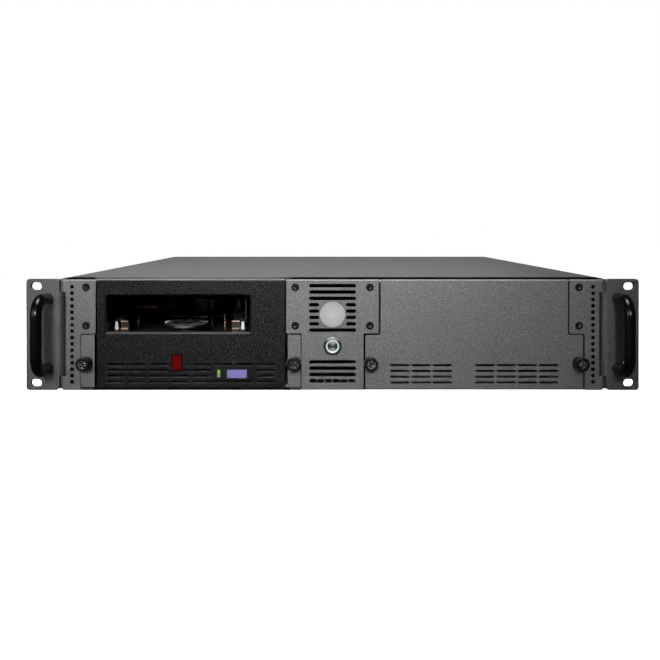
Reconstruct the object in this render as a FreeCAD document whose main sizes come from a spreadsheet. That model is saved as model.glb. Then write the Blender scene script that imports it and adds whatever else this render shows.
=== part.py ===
import FreeCAD, Part
import math
import os
import Sketcher
from FreeCAD import Placement, Rotation, Vector

# Two-unit rack enclosure for a half-height data tape drive.
# Frame: +X to the viewer's right, front faces -Y, +Z up. Lengths in millimetres.
# Depths in this file are measured back from the plane of the front panels; the
# sheet cell face_y puts that plane where the whole object is centred in Y.

doc = FreeCAD.newDocument("tape_drive_rack")
sheet = doc.addObject("Spreadsheet::Sheet", "Dims")


class Len(object):
    """A length: its value, and the expression over the sheet that gives it."""

    def __init__(self, v, e=None):
        self.v = float(v)
        self.e = e if e is not None else ("%.6g" % v if v >= 0 else "(%.6g)" % v)

    def __add__(self, o):
        o = q(o)
        return Len(self.v + o.v, "(%s + %s)" % (self.e, o.e))

    def __radd__(self, o):
        return q(o) + self

    def __sub__(self, o):
        o = q(o)
        return Len(self.v - o.v, "(%s - %s)" % (self.e, o.e))

    def __rsub__(self, o):
        return q(o) - self

    def __mul__(self, o):
        o = q(o)
        return Len(self.v * o.v, "(%s * %s)" % (self.e, o.e))

    def __rmul__(self, o):
        return q(o) * self

    def __truediv__(self, o):
        o = q(o)
        return Len(self.v / o.v, "(%s / %s)" % (self.e, o.e))

    def __neg__(self):
        return Len(-self.v, "(0 - %s)" % self.e)


def q(x):
    return x if isinstance(x, Len) else Len(x)


DIMS = [
    # whole unit
    ("face_y", -220.8), ("panel_t", 2.5), ("frame_t", 2.0), ("depth_all", 470.0), ("body_half", 211.5),
    ("panel_top", 87.1), ("cover_under", 87.6), ("cover_t", 1.1), ("cover_set", 7.5), ("strip_gap", 0.9), ("edge_rad", 0.9), ("slot_rad", 0.3), ("sheet_t", 1.2), ("joggle_z", 72.4),
    # rack ears and handles
    ("ear_half", 241.3), ("ear_t", 4.0), ("ear_top", 87.6), ("ear_low", 0.15), ("ear_tab_x", 215.4),
    ("bend_low", 11.4), ("bend_top", 76.7), ("bend_rad", 5.5), ("leg_depth", 30.0),
    ("slot_pitch_x", 467.0), ("slot_len", 8.8), ("slot_wide", 6.1), ("rack_mid_z", 43.8),
    ("outer_pitch_z", 76.2), ("inner_pitch_z", 44.45),
    ("grip_x", 224.35), ("grip_low", 17.4), ("grip_top", 72.5), ("grip_rad", 4.3), ("grip_off", 27.1), ("grip_bend", 12.0),
    # strips, centre panel and blank cover
    ("strip_in", 186.3), ("strip_out", 213.0), ("step_in", 198.3), ("step_z", 44.0),
    ("hole_x", 205.2), ("hole_pitch", 5.0), ("hole_z", 6.45), ("hole_rad", 1.4),
    ("screw_x", 194.2), ("screw_top", 81.0), ("screw_low", 50.8), ("mid_screw_x", 29.4),
    ("mid_up_half", 36.9), ("mid_low_half", 24.9), ("vent_half", 18.4), ("vent_wide", 2.6), ("vent_pitch", 5.0),
    ("lamp_z", 59.6), ("lamp_rad", 10.0), ("button_z", 34.7),
    ("knob_z", 21.8), ("knob_out", 194.1), ("knob_mid", 30.0), ("knob_rad", 5.4),
    ("blank_in", 37.4), ("blank_out", 186.0), ("blank_low_in", 25.4), ("blank_low_out", 197.9),
    # drive module
    ("bez_left", -185.8), ("bez_right", -37.3), ("bez_low", 1.6), ("bez_top", 86.6), ("bez_deep", 9.0), ("bez_wall", 2.4),
    ("win_left", -178.5), ("win_right", -65.1), ("win_low", 45.5), ("win_top", 74.8),
    ("grid_x", -177.8), ("grid_pitch", 16.84), ("grid_len", 14.8), ("grid_wide", 1.9), ("grid_z", 6.7), ("grid_rise", 4.5),
    ("drv_left", -184.6), ("drv_right", -38.6), ("drv_back", 215.0), ("drv_wall", 2.5), ("deck_z", 37.0),
    ("hub_x", -124.5), ("hub_y", 58.0), ("hub_rad", 18.5), ("hub_top", 47.8),
    ("reel_x", -124.5), ("reel_y", 160.0), ("reel_rad", 42.0),
    ("fan_x", -20.0), ("fan_z", 44.0), ("fan_half", 40.0), ("fan_pitch", 71.5), ("fan_bore", 37.8), ("fan_deep", 25.0),
    ("sled_left", -188.7), ("sled_right", -34.0), ("sled_z", 1.9), ("sled_deep", 245.0), ("sled_top", 43.5),
]
for _n, (_a, _v) in enumerate(DIMS, start=1):
    sheet.set("A%d" % _n, _a.replace("_", " "))
    sheet.set("B%d" % _n, "%g" % _v)
    sheet.setAlias("B%d" % _n, _a)
doc.recompute()
S = {a: Len(v, "Dims." + a) for a, v in DIMS}
FY = S["face_y"]
T = S["panel_t"]
NODES = {}


def bind(obj, prop, val):
    """Tie one property to the sheet, or give it its plain number."""
    val = q(val)
    obj.setExpression(prop, val.e)


def node(obj, name):
    obj.Label = name
    NODES[name] = obj
    return obj


def place(obj, x, y, z, rot=None):
    """Position in the front-face frame: y counts back from the panels."""
    obj.Placement = Placement(Vector(q(x).v, (q(y) + FY).v, q(z).v), rot or Rotation())
    bind(obj, "Placement.Base.x", x)
    bind(obj, "Placement.Base.y", q(y) + FY)
    bind(obj, "Placement.Base.z", z)


# ---- Part primitives -------------------------------------------------------

def box(x0, x1, y0, y1, z0, z1, rot=None):
    o = doc.addObject("Part::Box", "Box")
    bind(o, "Length", q(x1) - x0)
    bind(o, "Width", q(y1) - y0)
    bind(o, "Height", q(z1) - z0)
    place(o, x0, y0, z0, rot)
    return o


TURN = {"z": Rotation(), "y": Rotation(Vector(1, 0, 0), -90), "x": Rotation(Vector(0, 1, 0), 90)}


def cyl(axis, x, y, z, r, length):
    o = doc.addObject("Part::Cylinder", "Cyl")
    bind(o, "Radius", r)
    bind(o, "Height", length)
    place(o, x, y, z, TURN[axis])
    return o


def cone(axis, x, y, z, r1, r2, length):
    o = doc.addObject("Part::Cone", "Cone")
    bind(o, "Radius1", r1)
    bind(o, "Radius2", r2)
    bind(o, "Height", length)
    place(o, x, y, z, TURN[axis])
    return o


def torus(axis, x, y, z, r1, r2):
    o = doc.addObject("Part::Torus", "Torus")
    bind(o, "Radius1", r1)
    bind(o, "Radius2", r2)
    place(o, x, y, z, TURN[axis])
    return o


def hexa(axis, x, y, z, rad, length, sides=6):
    o = doc.addObject("Part::Prism", "Prism")
    o.Polygon = sides
    bind(o, "Circumradius", rad)
    bind(o, "Height", length)
    place(o, x, y, z, TURN[axis])
    return o


def fuse(*parts):
    o = doc.addObject("Part::MultiFuse", "Fuse")
    o.Shapes = list(parts)
    o.Refine = True
    return o


def cut(base, *tools):
    o = doc.addObject("Part::Cut", "Cut")
    o.Base = base
    if len(tools) == 1:
        o.Tool = tools[0]
    else:
        c = doc.addObject("Part::Compound", "Tools")
        c.Links = list(tools)
        o.Tool = c
    return o


def group(*parts):
    o = doc.addObject("Part::Compound", "Group")
    o.Links = list(parts)
    return o


def mirror_x(src):
    o = doc.addObject("Part::Mirroring", "Mirror")
    o.Source = src
    o.Normal = Vector(1, 0, 0)
    o.Base = Vector(0, 0, 0)
    return o


# ---- PartDesign bodies -----------------------------------------------------

def body(name, x=0, y=0, z=0):
    b = doc.addObject("PartDesign::Body", name)
    place(b, x, y, z)
    return node(b, name)


def pt(k):
    return (q(k[0]), q(k[1]), q(k[2]) if len(k) > 2 and k[2] else None)


class Sk(object):
    """Collects outlines, then makes one fully constrained sketch of them."""

    def __init__(self, b, role, off=0):
        self.b, self.role = b, role
        self.sk = b.newObject("Sketcher::SketchObject", "Sketch")
        base = [f for f in b.Origin.OriginFeatures if f.Role == role][0]
        self.sk.AttachmentSupport = [(base, "")]
        self.sk.MapMode = "FlatFace"
        off = q(off)
        bind(self.sk, "AttachmentOffset.Base.z", -off if role == "XZ_Plane" else off)
        self.geo, self.con, self.exp = [], [], []

    def _xy(self, g, p, x=None, y=None):
        for kind, val in (("DistanceX", x), ("DistanceY", y)):
            if val is not None:
                self.exp.append((len(self.con), val))
                self.con.append(Sketcher.Constraint(kind, -1, 1, g, p, val.v))

    def _rad(self, g, r):
        self.exp.append((len(self.con), r))
        self.con.append(Sketcher.Constraint("Radius", g, r.v))

    def _same(self, a, pa, c, pc):
        self.con.append(Sketcher.Constraint("Coincident", a, pa, c, pc))

    def poly(self, pts):
        """Closed outline; a third number on a square corner rounds it."""
        pts = [pt(p) for p in pts]
        n = len(pts)

        def unit(a, c):
            dx, dy = c[0].v - a[0].v, c[1].v - a[1].v
            m = math.hypot(dx, dy)
            return round(dx / m), round(dy / m)
        ins, outs = [], []
        for i, p in enumerate(pts):
            r = p[2]
            if r is None:
                ins.append((p[0], p[1]))
                outs.append((p[0], p[1]))
            else:
                u, w = unit(p, pts[i - 1]), unit(p, pts[(i + 1) % n])
                ins.append((p[0] + r * u[0], p[1] + r * u[1]))
                outs.append((p[0] + r * w[0], p[1] + r * w[1]))
        first = len(self.geo)
        lines = []
        for i in range(n):
            a, c = outs[i], ins[(i + 1) % n]
            lines.append(len(self.geo))
            self.geo.append(Part.LineSegment(Vector(a[0].v, a[1].v, 0), Vector(c[0].v, c[1].v, 0)))
            self._xy(lines[-1], 1, a[0], a[1])
        for i in range(n):
            r = pts[i][2]
            prev = lines[i - 1]
            if r is None:
                self._same(prev, 2, lines[i], 1)
                continue
            self._xy(prev, 2, ins[i][0], ins[i][1])
            u, w = unit(pts[i], pts[i - 1]), unit(pts[i], pts[(i + 1) % n])
            c = Vector(pts[i][0].v + r.v * (u[0] + w[0]), pts[i][1].v + r.v * (u[1] + w[1]), 0)
            left = (-u[0]) * w[1] - (-u[1]) * w[0] > 0
            s, e = (ins[i], outs[i]) if left else (outs[i], ins[i])
            a0 = math.atan2(s[1].v - c.y, s[0].v - c.x)
            a1 = math.atan2(e[1].v - c.y, e[0].v - c.x)
            while a1 < a0:
                a1 += 2 * math.pi
            g = len(self.geo)
            self.geo.append(Part.ArcOfCircle(Part.Circle(c, Vector(0, 0, 1), r.v), a0, a1))
            self._same(prev, 2, g, 1 if left else 2)
            self._same(lines[i], 1, g, 2 if left else 1)
            self._rad(g, r)
        return self

    def rect(self, x0, y0, x1, y1, r=None):
        return self.poly([(x0, y0, r), (x1, y0, r), (x1, y1, r), (x0, y1, r)])

    def disc(self, x, y, r):
        x, y, r = q(x), q(y), q(r)
        g = len(self.geo)
        self.geo.append(Part.Circle(Vector(x.v, y.v, 0), Vector(0, 0, 1), r.v))
        self._xy(g, 3, x, y)
        self._rad(g, r)
        return self

    def slot(self, x0, x1, y, wide):
        """Round-ended slot along the sketch's first axis."""
        x0, x1, y, r = q(x0), q(x1), q(y), q(wide) / 2
        a, c = x0 + r, x1 - r
        g = len(self.geo)
        ax = Vector(0, 0, 1)
        self.geo += [
            Part.ArcOfCircle(Part.Circle(Vector(a.v, y.v, 0), ax, r.v), math.pi / 2, 3 * math.pi / 2),
            Part.LineSegment(Vector(a.v, y.v - r.v, 0), Vector(c.v, y.v - r.v, 0)),
            Part.ArcOfCircle(Part.Circle(Vector(c.v, y.v, 0), ax, r.v), -math.pi / 2, math.pi / 2),
            Part.LineSegment(Vector(c.v, y.v + r.v, 0), Vector(a.v, y.v + r.v, 0))]
        for k in range(4):
            self._same(g + k, 2, g + (k + 1) % 4, 1)
        self._xy(g, 3, a, y)
        self._xy(g, 1, a, y + r)
        self._xy(g, 2, a, None)
        self._xy(g + 2, 3, c, y)
        self._xy(g + 2, 1, c, y - r)
        self._xy(g + 2, 2, c, None)
        return self

    def path(self, pts):
        """Open line with rounded square corners."""
        pts = [pt(p) for p in pts]
        prev_end = (pts[0][0], pts[0][1])
        last = None
        for i in range(1, len(pts)):
            p = pts[i]
            r = p[2]

            def unit(a, c):
                dx, dy = c[0].v - a[0].v, c[1].v - a[1].v
                m = math.hypot(dx, dy)
                return round(dx / m), round(dy / m)
            u = unit(p, pts[i - 1])
            end = (p[0] + r * u[0], p[1] + r * u[1]) if r is not None else (p[0], p[1])
            g = len(self.geo)
            self.geo.append(Part.LineSegment(Vector(prev_end[0].v, prev_end[1].v, 0), Vector(end[0].v, end[1].v, 0)))
            self._xy(g, 1, prev_end[0], prev_end[1])
            self._xy(g, 2, end[0], end[1])
            if last is not None:
                self._same(last[0], last[1], g, 1)
            if r is None:
                last = (g, 2)
                prev_end = end
                continue
            w = unit(p, pts[i + 1])
            out = (p[0] + r * w[0], p[1] + r * w[1])
            c = Vector(p[0].v + r.v * (u[0] + w[0]), p[1].v + r.v * (u[1] + w[1]), 0)
            left = (-u[0]) * w[1] - (-u[1]) * w[0] > 0
            s, e = (end, out) if left else (out, end)
            a0 = math.atan2(s[1].v - c.y, s[0].v - c.x)
            a1 = math.atan2(e[1].v - c.y, e[0].v - c.x)
            while a1 < a0:
                a1 += 2 * math.pi
            k = len(self.geo)
            self.geo.append(Part.ArcOfCircle(Part.Circle(c, Vector(0, 0, 1), r.v), a0, a1))
            self._same(g, 2, k, 1 if left else 2)
            self._rad(k, r)
            last = (k, 2 if left else 1)
            prev_end = out
        return self

    def done(self):
        self.sk.addGeometry(self.geo)
        self.sk.addConstraint(self.con)
        for k, val in self.exp:
            if "Dims." in val.e:
                self.sk.setExpression("Constraints[%d]" % k, val.e)
        return self.sk


def pad(b, s, length, plus=True):
    f = b.newObject("PartDesign::Pad", "Pad")
    f.Profile = s.done()
    bind(f, "Length", length)
    f.Reversed = plus if s.role == "XZ_Plane" else not plus
    return f


def pocket(b, s, length, plus=True):
    doc.recompute()
    before = b.Shape.Volume
    f = b.newObject("PartDesign::Pocket", "Pocket")
    f.Profile = s.done()
    bind(f, "Length", length)
    f.Reversed = (not plus) if s.role == "XZ_Plane" else plus
    doc.recompute()
    if not b.Shape.Volume < before - 1e-6:
        raise RuntimeError("pocket cuts nothing in " + b.Label)
    f.addProperty("App::PropertyString", "Note")
    return f


def grid(b, feat, nx, dx, ny=1, dy=1.0):
    """Repeats a feature along its sketch's two axes."""
    f = b.newObject("PartDesign::LinearPattern", "Grid")
    f.Originals = [feat]
    sk = feat.Profile[0]
    f.Direction = (sk, ["H_Axis"])
    f.Mode = "Spacing"
    f.Occurrences = nx
    bind(f, "Offset", dx)
    if ny > 1:
        f.Direction2 = (sk, ["V_Axis"])
        f.Mode2 = "Spacing"
        f.Occurrences2 = ny + 1        # this count leaves out the last row
        bind(f, "Offset2", dy)
    b.Tip = f
    doc.recompute()
    return f


def revolve(b, s, axis="V_Axis"):
    f = b.newObject("PartDesign::Revolution", "Revolution")
    sk = s.done()
    f.Profile = sk
    f.ReferenceAxis = (sk, [axis])
    f.Angle = 360
    return f


def polar(b, feat, sk, count):
    f = b.newObject("PartDesign::PolarPattern", "Polar")
    f.Originals = [feat]
    f.Axis = (sk, ["V_Axis"])
    f.Angle = 360
    f.Occurrences = count
    b.Tip = f
    doc.recompute()
    return f


def edge_names(b, want):
    doc.recompute()
    shape = b.Tip.Shape
    names = []
    for k, e in enumerate(shape.Edges, start=1):
        if want(e):
            names.append("Edge%d" % k)
    if not names:
        raise RuntimeError("no edge found in " + b.Label)
    return names


def ease(b, kind, size, want):
    """Fillet or Chamfer on the edges of the tip that want() accepts."""
    names = edge_names(b, want)
    tip = b.Tip
    f = b.newObject("PartDesign::" + kind, kind)
    f.Base = (tip, names)
    bind(f, "Radius" if kind == "Fillet" else "Size", size)
    doc.recompute()
    if "Invalid" in f.State or f.Shape.isNull():
        raise RuntimeError(kind + " failed in " + b.Label)
    return f


def ring_at(y, r):
    """Circular edges of radius r lying at depth y."""
    def want(e):
        c = e.Curve
        bb = e.BoundBox
        return (c.TypeId == "Part::GeomCircle" and abs(c.Radius - q(r).v) < 1e-4 and
                abs(bb.YMin - q(y).v) < 1e-4 and abs(bb.YMax - q(y).v) < 1e-4)
    return want


def face_edges(x0=-999, x1=999, z0=-999, z1=999):
    """Edges lying in the front plane, inside a window of it."""
    def want(e):
        bb = e.BoundBox
        return (abs(bb.YMin) < 1e-5 and abs(bb.YMax) < 1e-5 and bb.XMin > q(x0).v and bb.XMax < q(x1).v and
                bb.ZMin > q(z0).v and bb.ZMax < q(z1).v)
    return want


XZ, XY, YZ = "XZ_Plane", "XY_Plane", "YZ_Plane"

# ==== chassis ===============================================================

H = S["body_half"]
st = S["sheet_t"]
jz = S["joggle_z"]
tray_top = S["cover_under"] - 1.9
tray_y0 = T + S["frame_t"]
tray = body("chassis_tray")
s = Sk(tray, XZ, tray_y0)
# folded sheet: flat bottom, two sides, each joggled inwards for the cover skirt
s.poly([(-H, 0, 1.5), (H, 0, 1.5), (H, jz + st), (H - 1.1, jz + st), (H - 1.1, tray_top), (H - 1.1 - st, tray_top),
        (H - 1.1 - st, jz), (H - st, jz), (H - st, st, 0.4), (-H + st, st, 0.4), (-H + st, jz), (-H + 1.1 + st, jz),
        (-H + 1.1 + st, tray_top), (-H + 1.1, tray_top), (-H + 1.1, jz + st), (-H, jz + st)])
pad(tray, s, S["depth_all"] - tray_y0)
s = Sk(tray, YZ, -H - 1)
for zz in (20.0, 43.8, 66.0):
    s.disc(19.0, zz, 1.7)
pocket(tray, s, 2 * H + 2)
s = Sk(tray, YZ, -H - 1)
for yy in (100.0, 250.0, 420.0):
    s.disc(yy, 80.0, 1.3)
pocket(tray, s, 2 * H + 2)

rear = body("rear_panel")
rx = H - 1.1 - st - 0.05
ry = S["depth_all"] - 1.5
s = Sk(rear, XZ, ry)
s.rect(-rx, st, rx, S["cover_under"], 0.8)
pad(rear, s, 1.5)
s = Sk(rear, XZ, ry)
s.rect(156.4, 12.2, 183.6, 31.8)            # power inlet
s.rect(120.5, 12.7, 133.5, 31.3)            # rocker switch
s.rect(-188, 14.2, -166, 23.2).rect(-158, 14.2, -136, 23.2)   # data ports
s.disc(S["fan_x"], S["fan_z"], 37.6)              # fan opening
pocket(rear, s, 1.5)
s = Sk(rear, XZ, ry)
fh = S["fan_pitch"] / 2
for dx in (-fh, fh):
    for dz in (-fh, fh):
        s.disc(S["fan_x"] + dx, S["fan_z"] + dz, 1.75)
pocket(rear, s, 1.5)
s = Sk(rear, XZ, ry)
s.slot(50, 90, 56, 3.0)
k = pocket(rear, s, 1.5)
grid(rear, k, 3, 46, 4, 6.0)

cover = body("top_cover")
cu, ct = S["cover_under"], S["cover_t"]
cover_y0 = S["cover_set"]
s = Sk(cover, XZ, cover_y0)
s.poly([(-H, 74.0), (-H, cu + ct, 2.6), (H, cu + ct, 2.6), (H, 74.0), (H - 1.1, 74.0), (H - 1.1, cu, 1.5),
        (-H + 1.1, cu, 1.5), (-H + 1.1, 74.0)])
pad(cover, s, S["depth_all"] - cover_y0)
s = Sk(cover, YZ, -H - 1)
s.rect(cover_y0 - 1, 73.0, S["leg_depth"] + 0.6, cu - 1.8)
pocket(cover, s, 2 * H + 2)
s = Sk(cover, YZ, -H - 1)
for yy in (100.0, 250.0, 420.0):
    s.disc(yy, 80.0, 1.7)
pocket(cover, s, 2 * H + 2)
# the front edge is eased underneath, so the seam over the panels stays a shadow line
ease(cover, "Chamfer", 0.85, lambda e: abs(e.BoundBox.YMin - cover_y0.v) < 1e-5 and abs(e.BoundBox.YMax - cover_y0.v) < 1e-5 and
     abs(e.BoundBox.ZMin - cu.v) < 1e-5 and abs(e.BoundBox.ZMax - cu.v) < 1e-5 and e.Length > 300)

scr = []
for sx in (-1, 1):
    for yy in (100.0, 250.0, 420.0):
        head = cone("x", (H - 0.0) * sx if sx > 0 else -H - 1.3, yy, 80.0, 3.0 if sx > 0 else 2.2, 2.2 if sx > 0 else 3.0, 1.3)
        shank = cyl("x", H - 5.0 if sx > 0 else -H, yy, 80.0, 1.25, 5.0)
        sock = hexa("x", H + 0.5 if sx > 0 else -H - 1.4, yy, 80.0, 1.15, 0.9)
        scr.append(cut(fuse(head, shank), sock))
case_fasteners = list(scr)

frame = body("front_frame")
s = Sk(frame, XZ, T)
fx = H - 1.3
s.rect(-fx, 0, fx, S["panel_top"], 0.6)
pad(frame, s, S["frame_t"])
s = Sk(frame, XZ)
s.rect(-186.0, 86.8, -37.2, S["cover_under"])        # bright top lip over the drive bay
s.rect(-198.2, 0, -25.0, 0.8)                        # bottom lip under the drive bay
pad(frame, s, T + 0.5)
s = Sk(frame, XZ, T)
s.rect(-189.3, 1.4, -33.4, 86.7)                     # drive bay mouth
s.rect(36.0, 1.4, 187.3, 86.7)                       # second bay mouth
s.rect(-20, 45.6, 20, 84.6).rect(-20, 10.4, 20, 25.0)  # air behind the centre vents
for n in range(6):
    s.rect(-18.0 + 6.13 * n, 4.4, -12.95 + 6.13 * n, 9.4)
pocket(frame, s, S["frame_t"])
s = Sk(frame, XZ, T)
s.disc(0, S["button_z"], 6.1)
for kx in (-S["knob_out"], -S["knob_mid"], S["knob_mid"], S["knob_out"]):
    s.disc(kx, S["knob_z"], 2.05)
for kx in (-S["screw_x"], -S["mid_screw_x"], S["mid_screw_x"], S["screw_x"]):
    s.disc(kx, S["screw_top"], 1.4).disc(kx, S["screw_low"], 1.4)
pocket(frame, s, S["frame_t"])
s = Sk(frame, XZ, tray_y0)
s.rect(H - st - 1.2, 3, H - st, 70).rect(-H + st, 3, -H + st + 1.2, 70)
s.rect(-205, 86.8, 205, 87.35)                       # ledge under the front of the cover
pad(frame, s, 10)
s = Sk(frame, YZ, -H - 1)
s.disc(19.0 - 4.5, 43.8, 1.3)
pocket(frame, s, 2 * H + 2)

# centre tunnel: one channel between the two bays, open at the top
tunnel = body("centre_tunnel")
s = Sk(tunnel, XZ, tray_y0)
s.poly([(-33.0, st), (33.0, st), (33.0, 80.0), (31.8, 80.0), (31.8, 2 * st), (-31.8, 2 * st), (-31.8, 80.0), (-33.0, 80.0)])
pad(tunnel, s, 300)
s = Sk(tunnel, XZ, 303.3)
s.rect(-32.4, st * 1.5, 32.4, 66.0)                  # bulkhead; air passes over it
pad(tunnel, s, 1.2)
s = Sk(tunnel, YZ, -40)
s.rect(tray_y0 - 1, 10, 20, 81)
pocket(tunnel, s, 80)
s = Sk(tunnel, YZ, -40)
s.slot(40, 90, 25, 8)
k = pocket(tunnel, s, 80)
grid(tunnel, k, 4, 62, 3, 16)

# bay guides: an outer rail with a low ledge, and a ledge along the tunnel, in both bays
rails = [
    fuse(box(-190.6, -189.4, 12, 300, st, 40), box(-190.6, -184.2, 12, 300, st, 1.85)),
    box(-40.0, -33.05, 12, 300, st, 1.85),
    box(33.05, 40.0, 14, 300, st, 1.85),
    fuse(box(189.4, 190.6, 14, 300, st, 40), box(184.2, 190.6, 14, 300, st, 1.85)),
]
node(group(*rails), "bay_guides")

# ==== front panels ==========================================================

strip = body("side_strip_right")
ptop = S["panel_top"]
s = Sk(strip, XZ)
hs = H - S["strip_gap"]
s.poly([(S["step_in"], 0, 1.5), (S["strip_out"], 0, 1.0), (S["strip_out"], S["bend_low"]), (hs, S["bend_low"]), (hs, S["bend_top"]),
        (S["strip_out"], S["bend_top"]), (S["strip_out"], ptop, 1.0), (S["strip_in"], ptop, 1.0), (S["strip_in"], S["step_z"], 1.2),
        (S["step_in"], S["step_z"], 1.5)])
pad(strip, s, T)
ease(strip, "Fillet", S["edge_rad"], face_edges())
s = Sk(strip, XZ)
s.disc(S["hole_x"], S["hole_z"], S["hole_rad"])
k = pocket(strip, s, T)
grid(strip, k, 1, 10, 16, S["hole_pitch"])
ease(strip, "Fillet", S["slot_rad"], ring_at(0, S["hole_rad"]))
s = Sk(strip, XZ)
s.disc(S["screw_x"], S["screw_top"], 1.6).disc(S["screw_x"], S["screw_low"], 1.6)
pocket(strip, s, T)
ease(strip, "Chamfer", 1.5, ring_at(0, 1.6))
sm = node(mirror_x(strip), "side_strip_left")

centre = body("centre_panel")
mu, ml, sz = S["mid_up_half"], S["mid_low_half"], S["step_z"]
s = Sk(centre, XZ)
s.poly([(-ml, 0.2, 1.0), (ml, 0.2, 1.0), (ml, sz + 0.3, 0.8), (mu, sz + 0.3, 1.5), (mu, ptop, 1.0), (-mu, ptop, 1.0),
        (-mu, sz + 0.3, 1.5), (-ml, sz + 0.3, 0.8)])
pad(centre, s, T)
ease(centre, "Fillet", S["edge_rad"], face_edges())
vh, vw, vp = S["vent_half"], S["vent_wide"], S["vent_pitch"]
s = Sk(centre, XZ)
s.slot(-vh, vh, 72.3, vw)
k = pocket(centre, s, T)
grid(centre, k, 1, 10, 3, vp)
s = Sk(centre, XZ)
s.slot(-vh, vh, 47.3, vw)
pocket(centre, s, T)
s = Sk(centre, XZ)
s.slot(-vh, vh, 7.35, vw)
k = pocket(centre, s, T)
grid(centre, k, 1, 10, 4, vp)
s = Sk(centre, XZ)
s.slot(-vh, -10.7, 52.3, vw)
k = pocket(centre, s, T)
grid(centre, k, 2, vh + 10.7, 4, vp)
ease(centre, "Fillet", S["slot_rad"], face_edges(-vh - 0.1, vh + 0.1))
s = Sk(centre, XZ)
s.disc(0, S["lamp_z"], S["lamp_rad"])
s.disc(0, S["button_z"], 6.1)
pocket(centre, s, T)
s = Sk(centre, XZ)
for kx in (-S["mid_screw_x"], S["mid_screw_x"]):
    s.disc(kx, S["screw_top"], 1.6).disc(kx, S["screw_low"], 1.6)
pocket(centre, s, T)
ease(centre, "Chamfer", 1.5, ring_at(0, 1.6))

# black countersunk socket screws of the strips and of the centre panel
scr = []
for kx in (-S["screw_x"], -S["mid_screw_x"], S["mid_screw_x"], S["screw_x"]):
    for kz in (S["screw_top"], S["screw_low"]):
        sc = fuse(cone("y", kx, 0.05, kz, 2.98, 1.48, 1.5), cyl("y", kx, 1.0, kz, 1.35, 8.0))
        scr.append(cut(sc, hexa("y", kx, 0.0, kz, 1.2, 1.0)))
node(group(*scr), "panel_screws")

lamp = fuse(cyl("y", 0, 0.35, S["lamp_z"], S["lamp_rad"] - 0.08, 2.1), box(-10.2, 10.2, 2.5, 3.6, 49.4, 69.8))
node(lamp, "lamp_lens")
lamp_board = cut(fuse(box(-10.2, 10.2, 3.7, 5.3, 49.4, 69.8), box(-4, 4, 5.3, 8.3, 51, 55)),
                 cyl("y", -7.5, 3.0, 52.0, 1.1, 3), cyl("y", 7.5, 3.0, 67.0, 1.1, 3))
node(lamp_board, "lamp_board")

blank = body("blank_cover")
bi, bo, li, lo = S["blank_in"], S["blank_out"], S["blank_low_in"], S["blank_low_out"]
s = Sk(blank, XZ)
s.poly([(li, 0.6, 1.6), (lo, 0.6, 1.6), (lo, sz - 0.3, 1.6), (bo, sz - 0.3, 0.8), (bo, ptop, 1.8), (bi, ptop, 1.8),
        (bi, sz - 0.3, 0.8), (li, sz - 0.3, 1.6)])
pad(blank, s, T)
ease(blank, "Fillet", S["edge_rad"], face_edges())
s = Sk(blank, XZ, T)
s.rect(bi + 1.5, 84.9, bo - 1.5, 86.1).rect(bi + 1.5, 2.1, bo - 1.5, 3.3)   # folded stiffening flanges
pad(blank, s, 10)
for x0, n in ((45.3, 3), (112.3, 4)):
    s = Sk(blank, XZ)
    s.slot(x0, x0 + 15.1, 6.2, 1.7)
    k = pocket(blank, s, T)
    grid(blank, k, n, 16.77, 4, 4.53)
s = Sk(blank, XZ)
s.disc(S["knob_mid"], S["knob_z"], 3.3).disc(S["knob_out"], S["knob_z"], 3.3)
pocket(blank, s, T)


def ferrules(x_pair, thick, name):
    out = []
    for kx in x_pair:
        neck = cyl("y", kx, -0.0, S["knob_z"], 3.28, thick)
        low = cyl("y", kx, -1.3, S["knob_z"], 5.0, 1.3)
        high = cyl("y", kx, -2.8, S["knob_z"], 4.3, 1.6)
        out.append(cut(fuse(neck, low, high), cyl("y", kx, -3.0, S["knob_z"], 2.05, q(thick) + 4.0)))
    node(group(*out), name)


ferrules((S["knob_mid"], S["knob_out"]), T, "blank_ferrules")
ferrules((-S["knob_out"], -S["knob_mid"]), 1.5, "sled_ferrules")


def thumbscrew(name, kx):
    b = body(name, kx, 0, S["knob_z"])
    s = Sk(b, XY)
    kr = S["knob_rad"]
    s.poly([(0, -10.7), (3.25, -10.7), (3.25, -11.6), (kr - 0.7, -11.6), (kr, -10.9), (kr, -4.6), (kr - 0.5, -4.0),
            (4.4, -4.0), (4.4, -3.0), (1.95, -3.0), (1.95, 11.0), (1.4, 12.0), (0, 12.0)])
    rv = revolve(b, s)
    s2 = Sk(b, XZ, -11.0)
    s2.poly([(kr - 0.35, 0), (kr + 0.6, -0.62), (kr + 0.6, 0.62)])
    k = pocket(b, s2, 6.2)
    polar(b, k, rv.Profile[0], 30)
    s3 = Sk(b, XZ, -10.8)
    s3.poly([(-2.3, -0.38), (-0.38, -0.38), (-0.38, -2.3), (0.38, -2.3), (0.38, -0.38), (2.3, -0.38), (2.3, 0.38),
             (0.38, 0.38), (0.38, 2.3), (-0.38, 2.3), (-0.38, 0.38), (-2.3, 0.38)])
    pocket(b, s3, 1.5)
    return b


thumbscrew("thumbscrew_1", -S["knob_out"])
thumbscrew("thumbscrew_2", -S["knob_mid"])
thumbscrew("thumbscrew_3", S["knob_mid"])
thumbscrew("thumbscrew_4", S["knob_out"])

# ==== power button ==========================================================

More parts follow.
